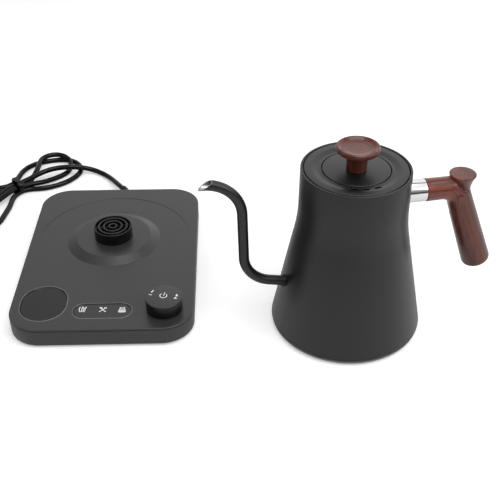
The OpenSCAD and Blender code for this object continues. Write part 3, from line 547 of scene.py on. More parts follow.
class KettleSizes(bpy.types.PropertyGroup):
    """Sizes of details that the CAD model leaves out, and of the cord."""
    edge: length("Edge easing", "Width of the eased edge on the base's cover", 0.4, 0.05, 0.5)
    stroke: length("Ink stroke", "Width of a printed stroke", 0.8, 0.3, 1.2)
    voxel: length("Handle mesh size", "Size of the handle's faces", 0.7, 0.5, 2)
    cord: length("Cord diameter", "Outside diameter of the mains cord", 5.8, 4, 8)
    cord_length: length("Cord length", "Length of the cord from the base to its plug", 1000, 500, 2000)


def looks():
    return bpy.context.scene.kettle_finishes


def sizes():
    return bpy.context.scene.kettle_sizes


# ---------------------------------------------------------------- finishes by name

# How each is made, the name of its material, its colour or none for the panel's colour of the same name, then
# its roughness and the maker's other numbers, and fixed sockets.
FINISHES = {
    # Moulded ABS with a fine sprayed texture: matt, with a broad soft shine towards the light.
    "cover": (grained, "Matt charcoal ABS, moulded", None, (0.34, 0.9, 0.008, 0.04), {"IOR": 1.5}),
    # The same ABS without the spray: duller, with a slightly coarser grain.
    "housing": (grained, "Charcoal ABS, moulded", None, (0.42, 1.1, 0.01, 0.04), {"IOR": 1.5}),
    # ABS made pale and smooth: the pale colour is a painted highlight, so a lip shows as a fine light line.
    "lip": (grained, "Charcoal ABS, rubbed edge", None, (0.2, 0.9, 0.002, 0.04), {"IOR": 1.5}),
    # Smoked acrylic: dark and glassy, so it shows a clear reflection beside the matt cover.
    "window": (grained, "Smoked acrylic, polished", None, (0.2, 4.0, 0.003, 0.02),
               {"IOR": 1.49, "Specular IOR Level": 0.38}),
    # Back-printed polycarbonate: satin charcoal with a hard clear face.
    "keys": (grained, "Polycarbonate plate, satin", None, (0.3, 1.2, 0.006, 0.03), {"IOR": 1.5}),
    # Screen ink: flat white, slightly raised.
    "ink": (grained, "Screen ink, white", None, (0.6, 0.3, 0.003, 0.02), {}),
    # Glass-filled nylon: deep black, with slightly glossy edges.
    "black": (grained, "Black nylon, moulded", None, (0.36, 0.9, 0.012, 0.1),
              {"IOR": 1.53, "Specular IOR Level": 0.32}),
    # Grey nylon: satin, a little lighter than the body, so the foot band reads as a thin line.
    "band": (grained, "Grey nylon, moulded", None, (0.35, 1.0, 0.008, 0.04), {"IOR": 1.53}),
    # Baked satin enamel on steel: black with a soft sheen and a very fine orange peel.
    "enamel": (grained, "Black enamel, baked satin", None, (0.38, 1.4, 0.01, 0.08), {"IOR": 1.5}),
    # Extruded vinyl: glossy black, with a faint waviness that breaks its highlight.
    "vinyl": (grained, "Black vinyl, extruded", None, (0.11, 2.5, 0.01, 0.1),
              {"IOR": 1.52, "Specular IOR Level": 0.2}),
    # Moulded silicone rubber: black-grey and dull.
    "rubber": (grained, "Silicone rubber, moulded", None, (0.72, 0.8, 0.02, 0.08), {"IOR": 1.43}),
    # Polished stainless steel: mirrors the studio, with faint turning lines.
    "steel": (drawn_metal, "Stainless steel, polished", None, (0.1, (1, 1, 20), 0.6, 0.0001), {}),
    # Brushed stainless steel: grey, with a soft shine drawn out across its lines.
    "brushed": (drawn_metal, "Stainless steel, brushed", None, (0.3, (12, 12, 1), 0.5, 0.004), {}),
    # Bored stainless steel: light grey and satin, so the spout's mouth shows a soft gradient.
    "bored": (drawn_metal, "Stainless steel, bored", "#b2b2b4", (0.4, (1, 1, 8), 0.6, 0.001), {}),
    # Turned brass, dulled by use: brown-grey, with fine lines round it.
    "brass": (drawn_metal, "Brass, turned", None, (0.22, (1, 1, 10)), {}),
    # Nickel-plated brass: bright, with fine draw lines along the pins.
    "nickel": (drawn_metal, "Nickel plate, drawn", "#c9c6c0", (0.2, (1, 14, 1)), {}),
    # Rolled zinc-plated steel: grey and satin, with faint lines.
    "zinc": (drawn_metal, "Zinc-plated steel, rolled", "#b4b4b0", (0.35, (4, 1, 1)), {}),
    # Cast aluminium: dull grey with an even grain.
    "aluminium": (drawn_metal, "Aluminium, cast", "#9c9c9b", (0.5, (1, 1, 1), 0.8, 0.02), {}),
    # Moulded plastics and tape: flat, strong colours that tell the inner parts apart.
    "blue": (grained, "Blue polybutylene, moulded", "#24508c", (0.4, 1.0, 0.01), {"IOR": 1.55}),
    "tape": (grained, "Yellow polyester tape", "#c9a03c", (0.35, 1.5, 0.02), {"IOR": 1.6}),
    "seal": (grained, "Orange silicone, moulded", "#a8603a", (0.6, 0.8, 0.02), {"IOR": 1.43}),
    "natural": (grained, "Natural acetal, moulded", "#cfcfc6", (0.4, 1.0, 0.01), {"IOR": 1.48}),
    # Glass-epoxy board: green lacquer over a fine weave.
    "board": (woven, "Glass-epoxy board", "#245a38", (0.35,), {"IOR": 1.55}),
}


def material_of(key):
    """The material of a finish, made anew."""
    how, name, code, numbers, sockets = FINISHES[key]
    return how(name, srgb(code) if code else getattr(looks(), key), *numbers, **sockets)


# ---------------------------------------------------------------- stage

CAMERA_AT = (-0.01713, -0.6563, 0.5037)
CAMERA_DOWN, CAMERA_TURN = radians(35.79), radians(-1.56)   # below level, and about the upright axis
LENS = 61.06

# Brightness of the studio in reflections, by degrees over the arch from the front horizon to the back.
ARCH = ((5, 0.02), (12, 0.1), (38, 0.42), (50, 0.95), (108, 0.95), (113, 0.2), (119, 0.2), (125, 0.9),
        (180, 1.0))

# Name, place, aim, size in metres and power of each lamp.
LAMPS = (("Overhead softbox", (0.25, -0.45, 1.5), (0.25, -0.45, 0), (0.9, 1.4), 11.0),
         ("Right softbox", (1.1, -0.6, 0.9), (0, 0, 0.08), (0.6, 0.6), 5.0),
         ("Left fill", (-1.2, -0.3, 0.9), (0, 0, 0.05), (0.7, 0.7), 1.0))


class KETTLE_OT_stage(bpy.types.Operator):
    """Camera, pale floor, white surroundings and soft lamps"""
    bl_idname = "kettle.stage"
    bl_label = "Camera, floor and lamps"

    def execute(self, context):
        scene = context.scene
        clear()
        bpy.ops.object.camera_add(location=CAMERA_AT, rotation=(pi / 2 - CAMERA_DOWN, 0, CAMERA_TURN))
        scene.camera = context.object
        scene.camera.data.lens = LENS
        scene.camera.data.sensor_width = 36
        scene.camera.data.clip_start = 0.01

        clear()
        bpy.ops.mesh.primitive_plane_add(size=8, location=(0, 0, 0))
        floor = context.object
        floor.name = "Studio_floor"
        # Matt paper. The camera sees it lifted to white; the shadow on it stays.
        paper, tree, shader = finish("White matt paper", srgb("#f4f4f4"), 0.9,
                                     **{"Emission Color": (1, 1, 1, 1)})
        lift = worked(tree, "MULTIPLY", node(tree, "LightPath").outputs["Is Camera Ray"], 0.34)
        tree.links.new(lift, shader.inputs["Emission Strength"])
        dress(floor, paper)

        self.surroundings(scene)
        for name, place, aim, size, power in LAMPS:
            clear()
            way = Vector(aim) - Vector(place)
            bpy.ops.object.light_add(type="AREA", location=place,
                                     rotation=way.to_track_quat("-Z", "Y").to_euler())
            lamp = context.object
            lamp.name = name
            lamp.data.shape = "RECTANGLE"
            lamp.data.size, lamp.data.size_y = size
            lamp.data.energy = power
        scene.view_settings.view_transform = "Standard"
        return {"FINISHED"}

    def surroundings(self, scene):
        """White all round for the camera, and a studio of bright and dark parts for reflections."""
        scene.world = scene.world or bpy.data.worlds.new("Studio")
        scene.world.use_nodes = True
        tree = scene.world.node_tree
        tree.nodes.clear()
        rays = node(tree, "LightPath").outputs
        way = node(tree, "SeparateXYZ", {"Vector": node(tree, "TexCoord").outputs["Generated"]}).outputs
        # The studio is bright from the front's upper half over to the back, with a dark gap behind the
        # overhead softbox and a dark front horizon. Its left side is dimmer than its right.
        arch = worked(tree, "ARCTAN2", way["Z"], worked(tree, "MULTIPLY", way["Y"], -1.0))
        turn = ranged(tree, worked(tree, "MULTIPLY", arch, 180 / pi), 0.0, 1.0, 0.0, 180.0)
        bright = ramp(tree, turn, *((degrees / 180, (level, level, level)) for degrees, level in ARCH))
        glossy = worked(tree, "MULTIPLY", bright, ranged(tree, way["X"], 0.45, 1.25, -0.7, 0.1))
        white = worked(tree, "MAXIMUM", rays["Is Camera Ray"], rays["Is Transmission Ray"])
        strength = node(tree, "Mix", {0: rays["Is Glossy Ray"], 2: ranged(tree, white, 0.5, 1.0), 3: glossy},
                        data_type="FLOAT").outputs[0]
        sky = node(tree, "Background", {"Color": (1, 1, 1, 1), "Strength": strength})
        node(tree, "OutputWorld", {"Surface": sky.outputs["Background"]})


# ---------------------------------------------------------------- cord, plug and strain relief

# The cord's middle line in mm from the outlet: out of the relief, into the hank, twice round both bows
# with the turns side by side, and on to the plug.
CORD_LINE = (
    (0, 0, 8.4), (-2.7, 8.2, 8.4), (-6.3, 16.1, 8.3), (-10.6, 23.5, 8), (-15, 30.9, 7.2), (-19, 38.4, 6),
    (-23.2, 45.8, 4.8), (-28, 53, 3.9), (-33.4, 59.6, 3.3), (-40, 64.9, 3.5), (-47.4, 68.2, 4.8),
    (-55.4, 68.6, 6.9), (-63.6, 67, 9.3), (-72, 65.9, 10.5), (-80.6, 65, 10.8), (-89, 63.4, 10.6),
    (-97.1, 60.3, 10.2), (-104.3, 55.6, 9.7), (-110.5, 49.7, 9.3), (-116.4, 43.5, 8.9),
    (-122.5, 37.4, 8.7), (-128.7, 31.4, 8.5), (-134.3, 24.9, 8.3), (-139, 17.7, 8), (-143.3, 10.2, 7.6),
    (-148, 3, 7), (-153.9, -3.1, 5.8), (-161.8, -6.1, 4.2), (-170.2, -5.1, 3.2), (-177.2, -0.3, 3),
    (-181.1, 7.3, 3), (-181, 15.8, 3), (-176.8, 23.3, 3), (-169.6, 27.8, 3), (-161.1, 28.9, 3),
    (-152.5, 27.3, 3), (-143.9, 26.4, 3), (-135.4, 27.6, 3), (-127.4, 30.8, 3.1), (-121.2, 36.7, 3.6),
    (-116.8, 44, 4.8), (-113.9, 51.9, 6.5), (-111.9, 60.1, 8.2), (-110.7, 68.6, 9.3), (-110.4, 77.1, 9.8),
    (-109.5, 85.4, 10), (-105.1, 92.5, 9.9), (-97.8, 96.8, 9.6), (-89.4, 97.1, 8.9), (-81.8, 93.4, 7.5),
    (-76.9, 86.6, 5.8), (-75.6, 77.4, 4.3), (-77.4, 67.9, 3.3), (-82, 60.7, 3.2), (-88.1, 54.7, 3.3),
    (-94.5, 48.9, 3.9), (-101, 43.3, 4.8), (-107.9, 38.3, 6.1), (-115.1, 33.8, 7.3), (-122.2, 28.9, 8),
    (-128.6, 23.1, 8.3), (-133.6, 16.2, 8.2), (-138, 8.7, 7.9), (-142.3, 1.3, 7.4), (-147.6, -5.4, 6.5),
    (-154.5, -10.3, 5.3), (-162.8, -12.2, 4), (-171.2, -11.1, 3.2), (-178.8, -7.1, 3), (-184.4, -0.6, 3),
    (-187.3, 7.4, 3), (-187.1, 16, 3), (-183.9, 24, 3), (-178.1, 30.2, 3), (-170.2, 33.6, 3),
    (-161.7, 34.4, 3), (-153.4, 33.9, 3), (-145.4, 35.1, 3), (-138.6, 39.1, 3), (-134.3, 45.5, 3),
    (-132.5, 52.8, 3.1), (-131.4, 60.1, 3.1), (-129.8, 68.6, 3), (-126.6, 76.6, 3), (-121.4, 83.4, 3),
    (-114.6, 88.6, 3), (-106.8, 92.3, 3), (-98.6, 94.8, 3), (-90.1, 96, 3), (-81.5, 95.2, 3),
    (-73.7, 91.6, 3), (-67.7, 85.5, 3), (-63.9, 77.8, 3), (-63, 69.3, 3), (-65, 60.9, 3), (-69.1, 53.4, 3),
    (-74.5, 46.7, 3), (-81.1, 41.2, 3), (-88.5, 36.7, 3), (-96.4, 33.3, 3), (-104.8, 31.7, 3),
    (-113.4, 30.8, 3), (-121.1, 27.1, 3.3), (-126.4, 20.5, 3.3), (-129.1, 12.6, 3), (-129.6, 4.1, 3),
    (-129.8, -4.5, 3), (-130.8, -12.8, 3), (-132, -21.2, 3), (-133.3, -29.7, 3), (-135.7, -37.9, 3),
    (-138.6, -46.1, 3.1), (-141, -54.3, 3.6), (-143.5, -62.5, 4.8), (-145.9, -70.3, 7.3),
    (-147.5, -78.2, 10.3), (-148, -87, 12))


class KETTLE_OT_cord(bpy.types.Operator):
    """Mains cord with its strain relief, plug, pins and tie"""
    bl_idname = "kettle.cord"
    bl_label = "Cord and plug"

    def execute(self, context):
        cord = strand("Mains_cord", "BEZIER", [OUTLET + Vector(at) * MM for at in CORD_LINE],
                      sizes().cord, 4)
        cord.data.resolution_u = 4
        enter(cord, "vinyl", "power_base", "cord_vinyl", "cord_run", "cord_bundle", "cord_tail")
        relief = enter(self.relief(), "vinyl", "power_base", "cord_vinyl", "strain_relief")
        plug = enter(self.plug(), "black", "power_base", "connector_black", "mains_plug")
        tie = enter(self.tie(), "vinyl", "power_base", "tie_vinyl", "cord_tie")
        pins = enter(traced("Plug_pins", "plug_pins", 0.5), "nickel", "power_base", "pin_nickel",
                     "plug_pins")
        return {"FINISHED"}

    def relief(self):
        """Short collar in the wall and a ribbed taper that turns with the cord."""
        relief = turned("Strain_relief", [
            (2.6, -3.4), (4.7, -3.4, 0.2), (4.7, -2.1, 0.2), (3.8, -2, 0.2), (3.8, 5, 0.2), (2.6, 5),
            (2.6, -3.4)], turn=(-pi / 2, 0, 0), steps=48)
        seat(relief, EXIT)
        ribbed = [(2.6, 0), (4.9, 0, 0.5)]
        for i in range(1, 5):
            low = 20 * i / 5.5
            r = 4.9 - 1.3 * low / 20
            ribbed += [(r, low, 0.25), (3.3, low + 0.1, 0.2), (3.3, low + 1.0, 0.2),
                       (r - 0.1, low + 1.1, 0.25)]
        ribbed += [(3.5, 20, 0.4), (2.6, 20), (2.6, 0)]
        taper = turned("Relief_taper", ribbed, turn=(-pi / 2, 0, radians(25)), steps=48)
        seat(taper, EXIT + Vector((0, 0.003, 0)))
        return smooth(carve(relief, taper, "UNION"))

    def plug(self):
        """Rounded grip with two finger hollows, and a short ribbed sleeve for the cord."""
        plug = slab("Mains_plug", (26, 24, 36), (0, 0, 18), 8, ease=1.2, under=3.0)
        for side in (-1, 1):
            carve(plug, ball(30, (side * 41.6, 0, 17)))
        carve(plug, turned("Plug_sleeve", [
            (0, 1), (6.4, 1), (5.6, -2, 0.3), (4.6, -2.1, 0.2), (4.6, -3, 0.2), (5.3, -3.1, 0.3),
            (4.9, -5, 0.3), (4.1, -5.1, 0.2), (4.1, -6, 0.2), (4.6, -6.1, 0.3), (4.0, -8, 0.4), (0, -8)],
            steps=48), "UNION")
        smooth(ease_edges(plug, 0.4 * MM, 40), 35)
        settle(settle(plug), (pi / 2, 0, 0))
        return seat(plug, OUTLET + Vector(CORD_LINE[-1]) * MM)

    def tie(self):
        """Flat band, tight round the hank's waist."""
        tie = slab("Cord_tie", (21, 15.6, 5), (0, 0, 0), 6, ease=0.35, under=0.35)
        carve(tie, slab("Tie_hole", (18.6, 13.2, 12), (0, 0, 0), 4.8))
        settle(tie, (pi / 2, 0, radians(36 + 90)))
        return smooth(seat(tie, BUNDLE), 35)


# ---------------------------------------------------------------- power base

# The cover's two pockets: middle and opening in mm about the base's middle, corner, and steps round a corner.
POCKETS = {"window": ((-52.8, -78), (41.3, 48.7), 20.64, 28), "keys": ((0.8, -89.6), (52.3, 20.3), 10.14, 20)}


def pocket(name, which, height, z, grow=0.0, ease=0.0):
    """A slab as wide as a pocket's opening, or wider by grow on every side, with its middle at z; in mm."""
    place, (width, depth), corner, steps = POCKETS[which]
    return slab(name, (width + 2 * grow, depth + 2 * grow, height), (*place, z), corner + grow, ease,
                steps=steps)


class KETTLE_OT_base(bpy.types.Operator):
    """Top plate with its recess, cone, drain slot and pockets, and the housing under it"""
    bl_idname = "kettle.base"
    bl_label = "Base cover and housing"

    def execute(self, context):
        cover = slab("Base_cover", (164, 230, 1.6), (0, 0, 19.2), 29, ease=0.8, under=0.5, steps=24)
        recess, shaft_hole = drum(74.8, 19.7, 21, SEAT_AT, 160), drum(4.9, 18, 21, DIAL_AT, 48)
        drain = slab("Drain_slot", (18.6, 1.4, 3), (0, 70.4, 19.2), 0.69, steps=6)
        pockets = [pocket("Pocket", which, 3, 19.5) for which in POCKETS]
        for cutter in (recess, *pockets, shaft_hole, drain):
            carve(cover, cutter)
        cone = stand(turned("Cone", [
            (17.1, 18.5), (46, 18.5), (46, 19.7), (45.4, 19.73, 1.2), (36, 24, 0.7), (17.1, 24, 0.4),
            (17.1, 18.5)], steps=128), SEAT_AT)
        carve(cover, drum(45.7, 18, 21, SEAT_AT, 128))
        carve(cover, cone, "UNION")
        ease_edges(cover, sizes().edge, 36, use_clamp_overlap=True)
        seat(smooth(cover, 8), BASE)
        enter(cover, "cover", "power_base", "cover_plastic", "top_cover")
        enter(traced("Base_housing", "bottom_housing"), "housing", "power_base", "housing_plastic",
              "bottom_housing")
        enter(traced("Base_feet", "rubber_feet", 0.5), "rubber", "power_base", "foot_rubber",
              "rubber_feet")
        return {"FINISHED"}


class KETTLE_OT_controls(bpy.types.Operator):
    """Display window, key plate, their lips and their printed symbols"""
    bl_idname = "kettle.controls"
    bl_label = "Window and touch keys"

    # Strokes in mm about each key's middle.
    GLASS = [[(-3.0, 3.9), (-3.5, -0.8), (-2.8, -3.9), (2.2, -3.9), (3.6, 3.9)], [(-0.5, 4.3), (-0.8, -3.4)],
             [(-0.2, 3.8), (1.4, 0.6), (2.6, 2.6)], [(1.2, 0.4), (1.0, -3.4)]]
    CROSSED = [[(-3.5, -3.8), (1.6, 1.4)], [(1.5, 2.9), (3.3, 3.8), (3.6, 2.6), (2.0, 1.2), (1.5, 2.9)],
               [(3.0, -3.6), (-1.0, 0.6)], [(3.6, -2.7), (2.4, -3.8)],
               [(-3.6, 3.8), (-1.2, 0.6), (-0.6, 2.6), (-3.6, 3.8)], [(-2.9, 3.2), (-1.0, 1.8)]]
    CUP = [[(-2.3, 4.0), (-2.4, 0.9), (-3.6, -2.4), (-2.7, -4.1), (2.7, -4.1), (3.6, -2.4), (2.4, 0.9),
            (2.3, 4.0)], [(-3.0, -2.9), (3.0, -2.9)], [(-3.0, -1.8), (3.0, -1.8)], [(-2.4, -0.6), (2.4, -0.6)],
           [(-2.2, 1.2), (2.2, 1.2)], [(-0.7, 2.4), (-0.8, 3.9)], [(0.8, 2.4), (0.7, 3.9)]]
    # Each symbol with its place in mm from the base's middle.
    SYMBOLS = ((GLASS, -17.0, -86.4), (CROSSED, 1.0, -87.3), (CUP, 18.3, -87.9))

    def execute(self, context):
        # The window and the plate leave a gap of 0.45 mm all round in their pockets.
        window = smooth(pocket("Display_window", "window", 1.9, 18.55, -0.45, 0.5), 8)
        enter(seat(window, BASE), "window", "power_base", "smoked_window", "display_window")
        plate = smooth(pocket("Key_plate", "keys", 2, 18.6, -0.45, 0.45), 8)
        enter(seat(plate, BASE), "keys", "power_base", "key_plastic", "touch_key_plate")

        # A fine raised lip, 0.7 mm wide, round either pocket catches the light in front; its pale finish adds a
        # painted highlight all round.
        lips = join(*(carve(pocket("Pocket_lips", which, 0.9, 19.85, 0.7, 0.3), pocket("Hole", which, 3, 19.5))
                      for which in POCKETS))
        enter(seat(smooth(lips, 30), BASE), "lip", "power_base", "cover_plastic")

        strokes = [[(0.85 * x + across, 0.85 * y + along) for x, y in stroke]
                   for symbol, across, along in self.SYMBOLS for stroke in symbol]
        enter(printed("Key_symbols", strokes, BASE + Vector((0, 0, 0.0196))), "ink", "power_base",
              "key_plastic")
        return {"FINISHED"}


class KETTLE_OT_connector(bpy.types.Operator):
    """Ribbed connector that the kettle drops on"""
    bl_idname = "kettle.connector"
    bl_label = "Connector"

    def execute(self, context):
        corners = [(0, 19), (17, 19), (17, 24.0), (18.4, 24.0, 0.2), (18.4, 35.4, 0.45), (17.1, 35.4, 0.3),
                   (17.1, 26.4)]
        for middle in (13.6, 8.8, 3.6):
            corners += [(middle + 1, 26.4), (middle + 1, 35.4, 0.45), (middle - 1, 35.4, 0.45),
                        (middle - 1, 26.4)]
        boss = turned("Connector_boss", corners + [(0, 26.4)], steps=128)
        enter(seat(boss, SEAT), "black", "power_base", "connector_black", "connector_boss")
        enter(traced("Contact_rings", "connector_rings", 0.25), "brass", "power_base",
              "contact_brass", "connector_rings")
        return {"FINISHED"}


class KETTLE_OT_dial(bpy.types.Operator):
    """Dial that turns and presses, with its printed symbols"""
    bl_idname = "kettle.dial"
    bl_label = "Dial"

    # Strokes in mm about the dial's middle: power there, a leaf on its left, two triangles on its right.
    POWER = [arc(-0.3, 1.3, 3.1, 122, 395, 20), [(0.9, 5.6), (-0.2, 1.2)]]
    LEAF = [[(-11.4, 5.9), (-10.7, 7.4), (-9.6, 9.3)], [(-11.0, 6.0), (-10.2, 7.2), (-9.5, 9.1)],
            [(-10.9, 6.6), (-9.9, 8.4)], [(-13.3, 3.3), (-10.5, 2.6)]]
    TRIANGLES = [[(11.5, 2.9), (10.5, 0.2), (12.4, 0.1), (11.5, 2.9)], [(11.5, 2.2), (11.2, 0.4), (11.9, 0.4)],
                 [(10.4, -1.3), (9.2, -3.4), (11.7, -3.3), (10.4, -1.3)],
                 [(10.4, -2.0), (10.0, -3.1), (10.9, -3.0)]]

    def execute(self, context):
        skirt = turned("Dial_skirt", [
            (14.3, 21.1), (16.2, 21.1, 0.3), (16.2, 32.3, 0.25), (0, 32.3), (0, 30.4), (14.3, 30.4),
            (14.3, 21.1)], steps=128)
        enter(seat(skirt, DIAL), "black", "dial", "knob_plastic", "dial_knob")
        face = turned("Dial_face", [
            (0, 32.2), (15.9, 32.2), (16.2, 32.4, 0.2), (16.2, 33.1, 0.6), (0, 33.1)], steps=128)
        enter(seat(face, DIAL), "cover", "dial", "knob_plastic")
        symbols = printed("Dial_symbols", self.POWER + self.LEAF + self.TRIANGLES,
                          DIAL + Vector((0, 0, 0.0331)))
        enter(symbols, "ink", "dial", "knob_plastic")
        return {"FINISHED"}


# ---------------------------------------------------------------- kettle

def wall_line(inset=0.0):
    """Half section of the body wall from the foot to the rim: straight flank, long curve, straight neck."""
    (foot_r, foot_z), (waist_r, waist_z), (rim_r, rim_z) = (66.4, 6), (46.1, 109), (45.5, 156.6)
    curve = 145
    low = atan((foot_r - waist_r) / (waist_z - foot_z))
    high = atan((waist_r - rim_r) / (rim_z - waist_z))
    reach = curve * tan((low - high) / 2)
    start = Vector((waist_r + reach * sin(low), waist_z - reach * cos(low)))
    centre = start + curve * Vector((cos(low), sin(low)))
    turns = [low + (high - low) * i / 14 for i in range(15)]
    points = [(foot_r, foot_z), *(tuple(centre - curve * Vector((cos(a), sin(a)))) for a in turns),
              (rim_r, rim_z)]
    return [(r - inset, z) for r, z in points]


# The spout's middle line is a straight root, a low bend up, a straight rise, and a high bend over to the mouth.
# Places on it are its distance from the kettle's axis and its height, in mm.
SPOUT_FOOT = Vector((92.8, 79))             # where the low bend meets the straight rise
SPOUT_RUN, LOW_BEND, HIGH_BEND = 44, 27.8, 32
LEAN, RISE = radians(1.6), radians(12)      # of the straight rise from upright, of the root from level
LOW_CENTRE = SPOUT_FOOT + LOW_BEND * Vector((-cos(LEAN), sin(LEAN)))
SPOUT_ROOT = LOW_CENTRE + LOW_BEND * Vector((sin(RISE), -cos(RISE)))
ROOT_AT = (-SPOUT_ROOT.x, 0, SPOUT_ROOT.y)
TUBE, BORE = 8.8, 7.2                       # across


class KETTLE_OT_body(bpy.types.Operator):
    """Enamelled shell, steel inside, and the foot band"""
    bl_idname = "kettle.body"
    bl_label = "Body shell and foot band"

    def execute(self, context):
        outer, inner = wall_line(), wall_line(1.2)
        lip_low = 151.9
        shell = turned("Body_shell", [
            (65.3, 6), (66.4, 6, 0.35), *outer[1:-1], (45.5, 156.6, 0.5), (43.4, 156.6, 0.8),
            (43.4, lip_low), (44.35, lip_low), *reversed(inner[1:-1]), (65.3, 6)], steps=160, angle=40)
        dress(shell, "enamel", "brushed")
        # Below the rim's lip, a face that looks towards the axis is the bare inside of the wall.
        for face in shell.data.polygons:
            at = face.center
            if face.normal.x * at.x + face.normal.y * at.y < 0 and at.z < (lip_low - 0.1) * MM:
                face.material_index = 1
        carve(shell, stand(drum(TUBE / 2, -14, 14, steps=48), ROOT_AT, (0, pi / 2 + RISE, 0)))
        enter(on_kettle(smooth(shell, 40)), None, "kettle", "black_enamel", "body_shell")

        band = turned("Foot_band", [
            (61.2, 1.2), (63.2, 1.2, 0.5), (65.2, 2.3, 1.5), (66.2, 5.0, 0.5), (64.6, 5.2), (64.6, 6.0),
            (63.0, 13), (61.0, 13), (61.2, 1.2)], steps=160)
        enter(on_kettle(band), "band", "kettle", "foot_ring_plastic", "foot_ring")
        return {"FINISHED"}


class KETTLE_OT_lid(bpy.types.Operator):
    """Lid with its trough and slots, the disc and the dished wooden knob"""
    bl_idname = "kettle.lid"
    bl_label = "Lid and knob"

    def execute(self, context):
        ring = turned("Lid_cover", [
            (35, 153.5), (42.7, 153.5, 0.2), (42.7, 156.5, 0.6), (36.4, 156.5, 2.5), (31.4, 155.5, 1.6),
            (28.6, 156.0, 0.35), (28.6, 153.5), (35, 153.5)], steps=128)
        for angle in (radians(-108), radians(-92.5), radians(-75)):
            slot = slab("Steam_slot", (2.7, 6.2, 8), (0, 0, 155), 1.3, steps=6)
            carve(ring, stand(slot, (32.4 * cos(angle), 32.4 * sin(angle), 0), (0, 0, angle)))
        enter(on_kettle(smooth(ring, 35)), "enamel", "lid", "black_enamel", "lid_cover")

        disc = turned("Lid_disc", [(0, 153.5), (27.9, 153.5), (27.9, 156.2, 0.6), (0, 156.2)], steps=128)
        enter(on_kettle(disc), "enamel", "lid", "black_enamel", "lid_centre_disc")

        knob = turned("Lid_knob", [
            (0, 156.2), (8.5, 156.2, 0.3), (8.5, 170, 1.2), (12, 170.8, 1.5), (16, 171.9, 1.5),
            (17.5, 173.0, 0.8), (17.85, 173.8, 0.6), (18, 175.3, 0.8), (17.7, 176.3, 0.5), (16.9, 176.95, 0.4),
            (16.1, 177.0, 0.5), (15.1, 176.5, 0.8), (13, 175.3, 2), (9, 174.6, 4), (0, 174.4)], angle=60)
        # Turned from one piece, with the grain running across it.
        wood = hardwood("Hardwood knob, oiled", (0, radians(78), radians(20)), KETTLE)
        enter(on_kettle(knob), wood, "lid", "carved_wood", "lid_knob")
        return {"FINISHED"}


def from_path(point, path):
    """Distance of a point from a path of straight lengths."""
    found = []
    for a, b in zip(path, path[1:]):
        along = max(0.0, min(1.0, (point - a).dot(b - a) / (b - a).length_squared))
        found.append((point - a - along * (b - a)).length)
    return min(found)


class KETTLE_OT_spout(bpy.types.Operator):
    """Gooseneck spout with its bare cut tip, and the collar at its root"""
    bl_idname = "kettle.spout"
    bl_label = "Spout and collar"

    def execute(self, context):
        way = Vector((cos(RISE), sin(RISE)))
        head = SPOUT_FOOT + SPOUT_RUN * Vector((sin(LEAN), cos(LEAN)))
        high = head + HIGH_BEND * Vector((cos(LEAN), -sin(LEAN)))
        path = [SPOUT_ROOT - 22 * way, SPOUT_ROOT - 11 * way]
        path += [LOW_CENTRE + LOW_BEND * Vector((cos(a), sin(a)))
                 for a in (RISE - pi / 2 + (pi / 2 - RISE - LEAN) * i / 26 for i in range(27))]
        path += [head * (1 - t) + SPOUT_FOOT * t for t in (0.66, 0.33)]
        path += [high + HIGH_BEND * Vector((cos(a), sin(a)))
                 for a in (pi - LEAN - (pi / 2 - LEAN) * i / 30 for i in range(31))]
        path += [high + Vector((end, HIGH_BEND)) for end in (3.6, 7.6)]
        middle = [Vector((-s, 0, z)) * MM for s, z in path]
        spout = line("Spout", middle, TUBE * MM, round_steps=10)
        more = [middle[0] * 2 - middle[1], *middle, middle[-1] * 2 - middle[-2]]
        carve(spout, line("Spout_bore", more, BORE * MM, round_steps=10))
        # The mouth is cut back by a plane through its lower lip, 33 degrees from level.
        carve(spout, block(60, (0, 0, 0.5), -33, (-(high.x + 3.6), 0, high.y + HIGH_BEND - TUBE / 2)))
        dress(spout, "enamel", "bored")
        # The bore and the cut rim are bare steel: their faces lie nearer the middle line than the skin does.
        for face in spout.data.polygons:
            face.material_index = int(from_path(face.center, middle) < (TUBE / 2 - 0.15) * MM)
        enter(on_kettle(smooth(spout, 40)), None, "kettle", "black_enamel", "spout_tube")

        collar = turned("Spout_collar", [
            (4.4, -24), (5.5, -24), (5.5, -11.5, 0.6), (4.4, -11.5, 0.1), (4.4, -24)],
            turn=(0, RISE - pi / 2, 0), steps=64)
        enter(on_kettle(stand(collar, ROOT_AT)), "black", "kettle", "black_enamel", "spout_collar")
        return {"FINISHED"}


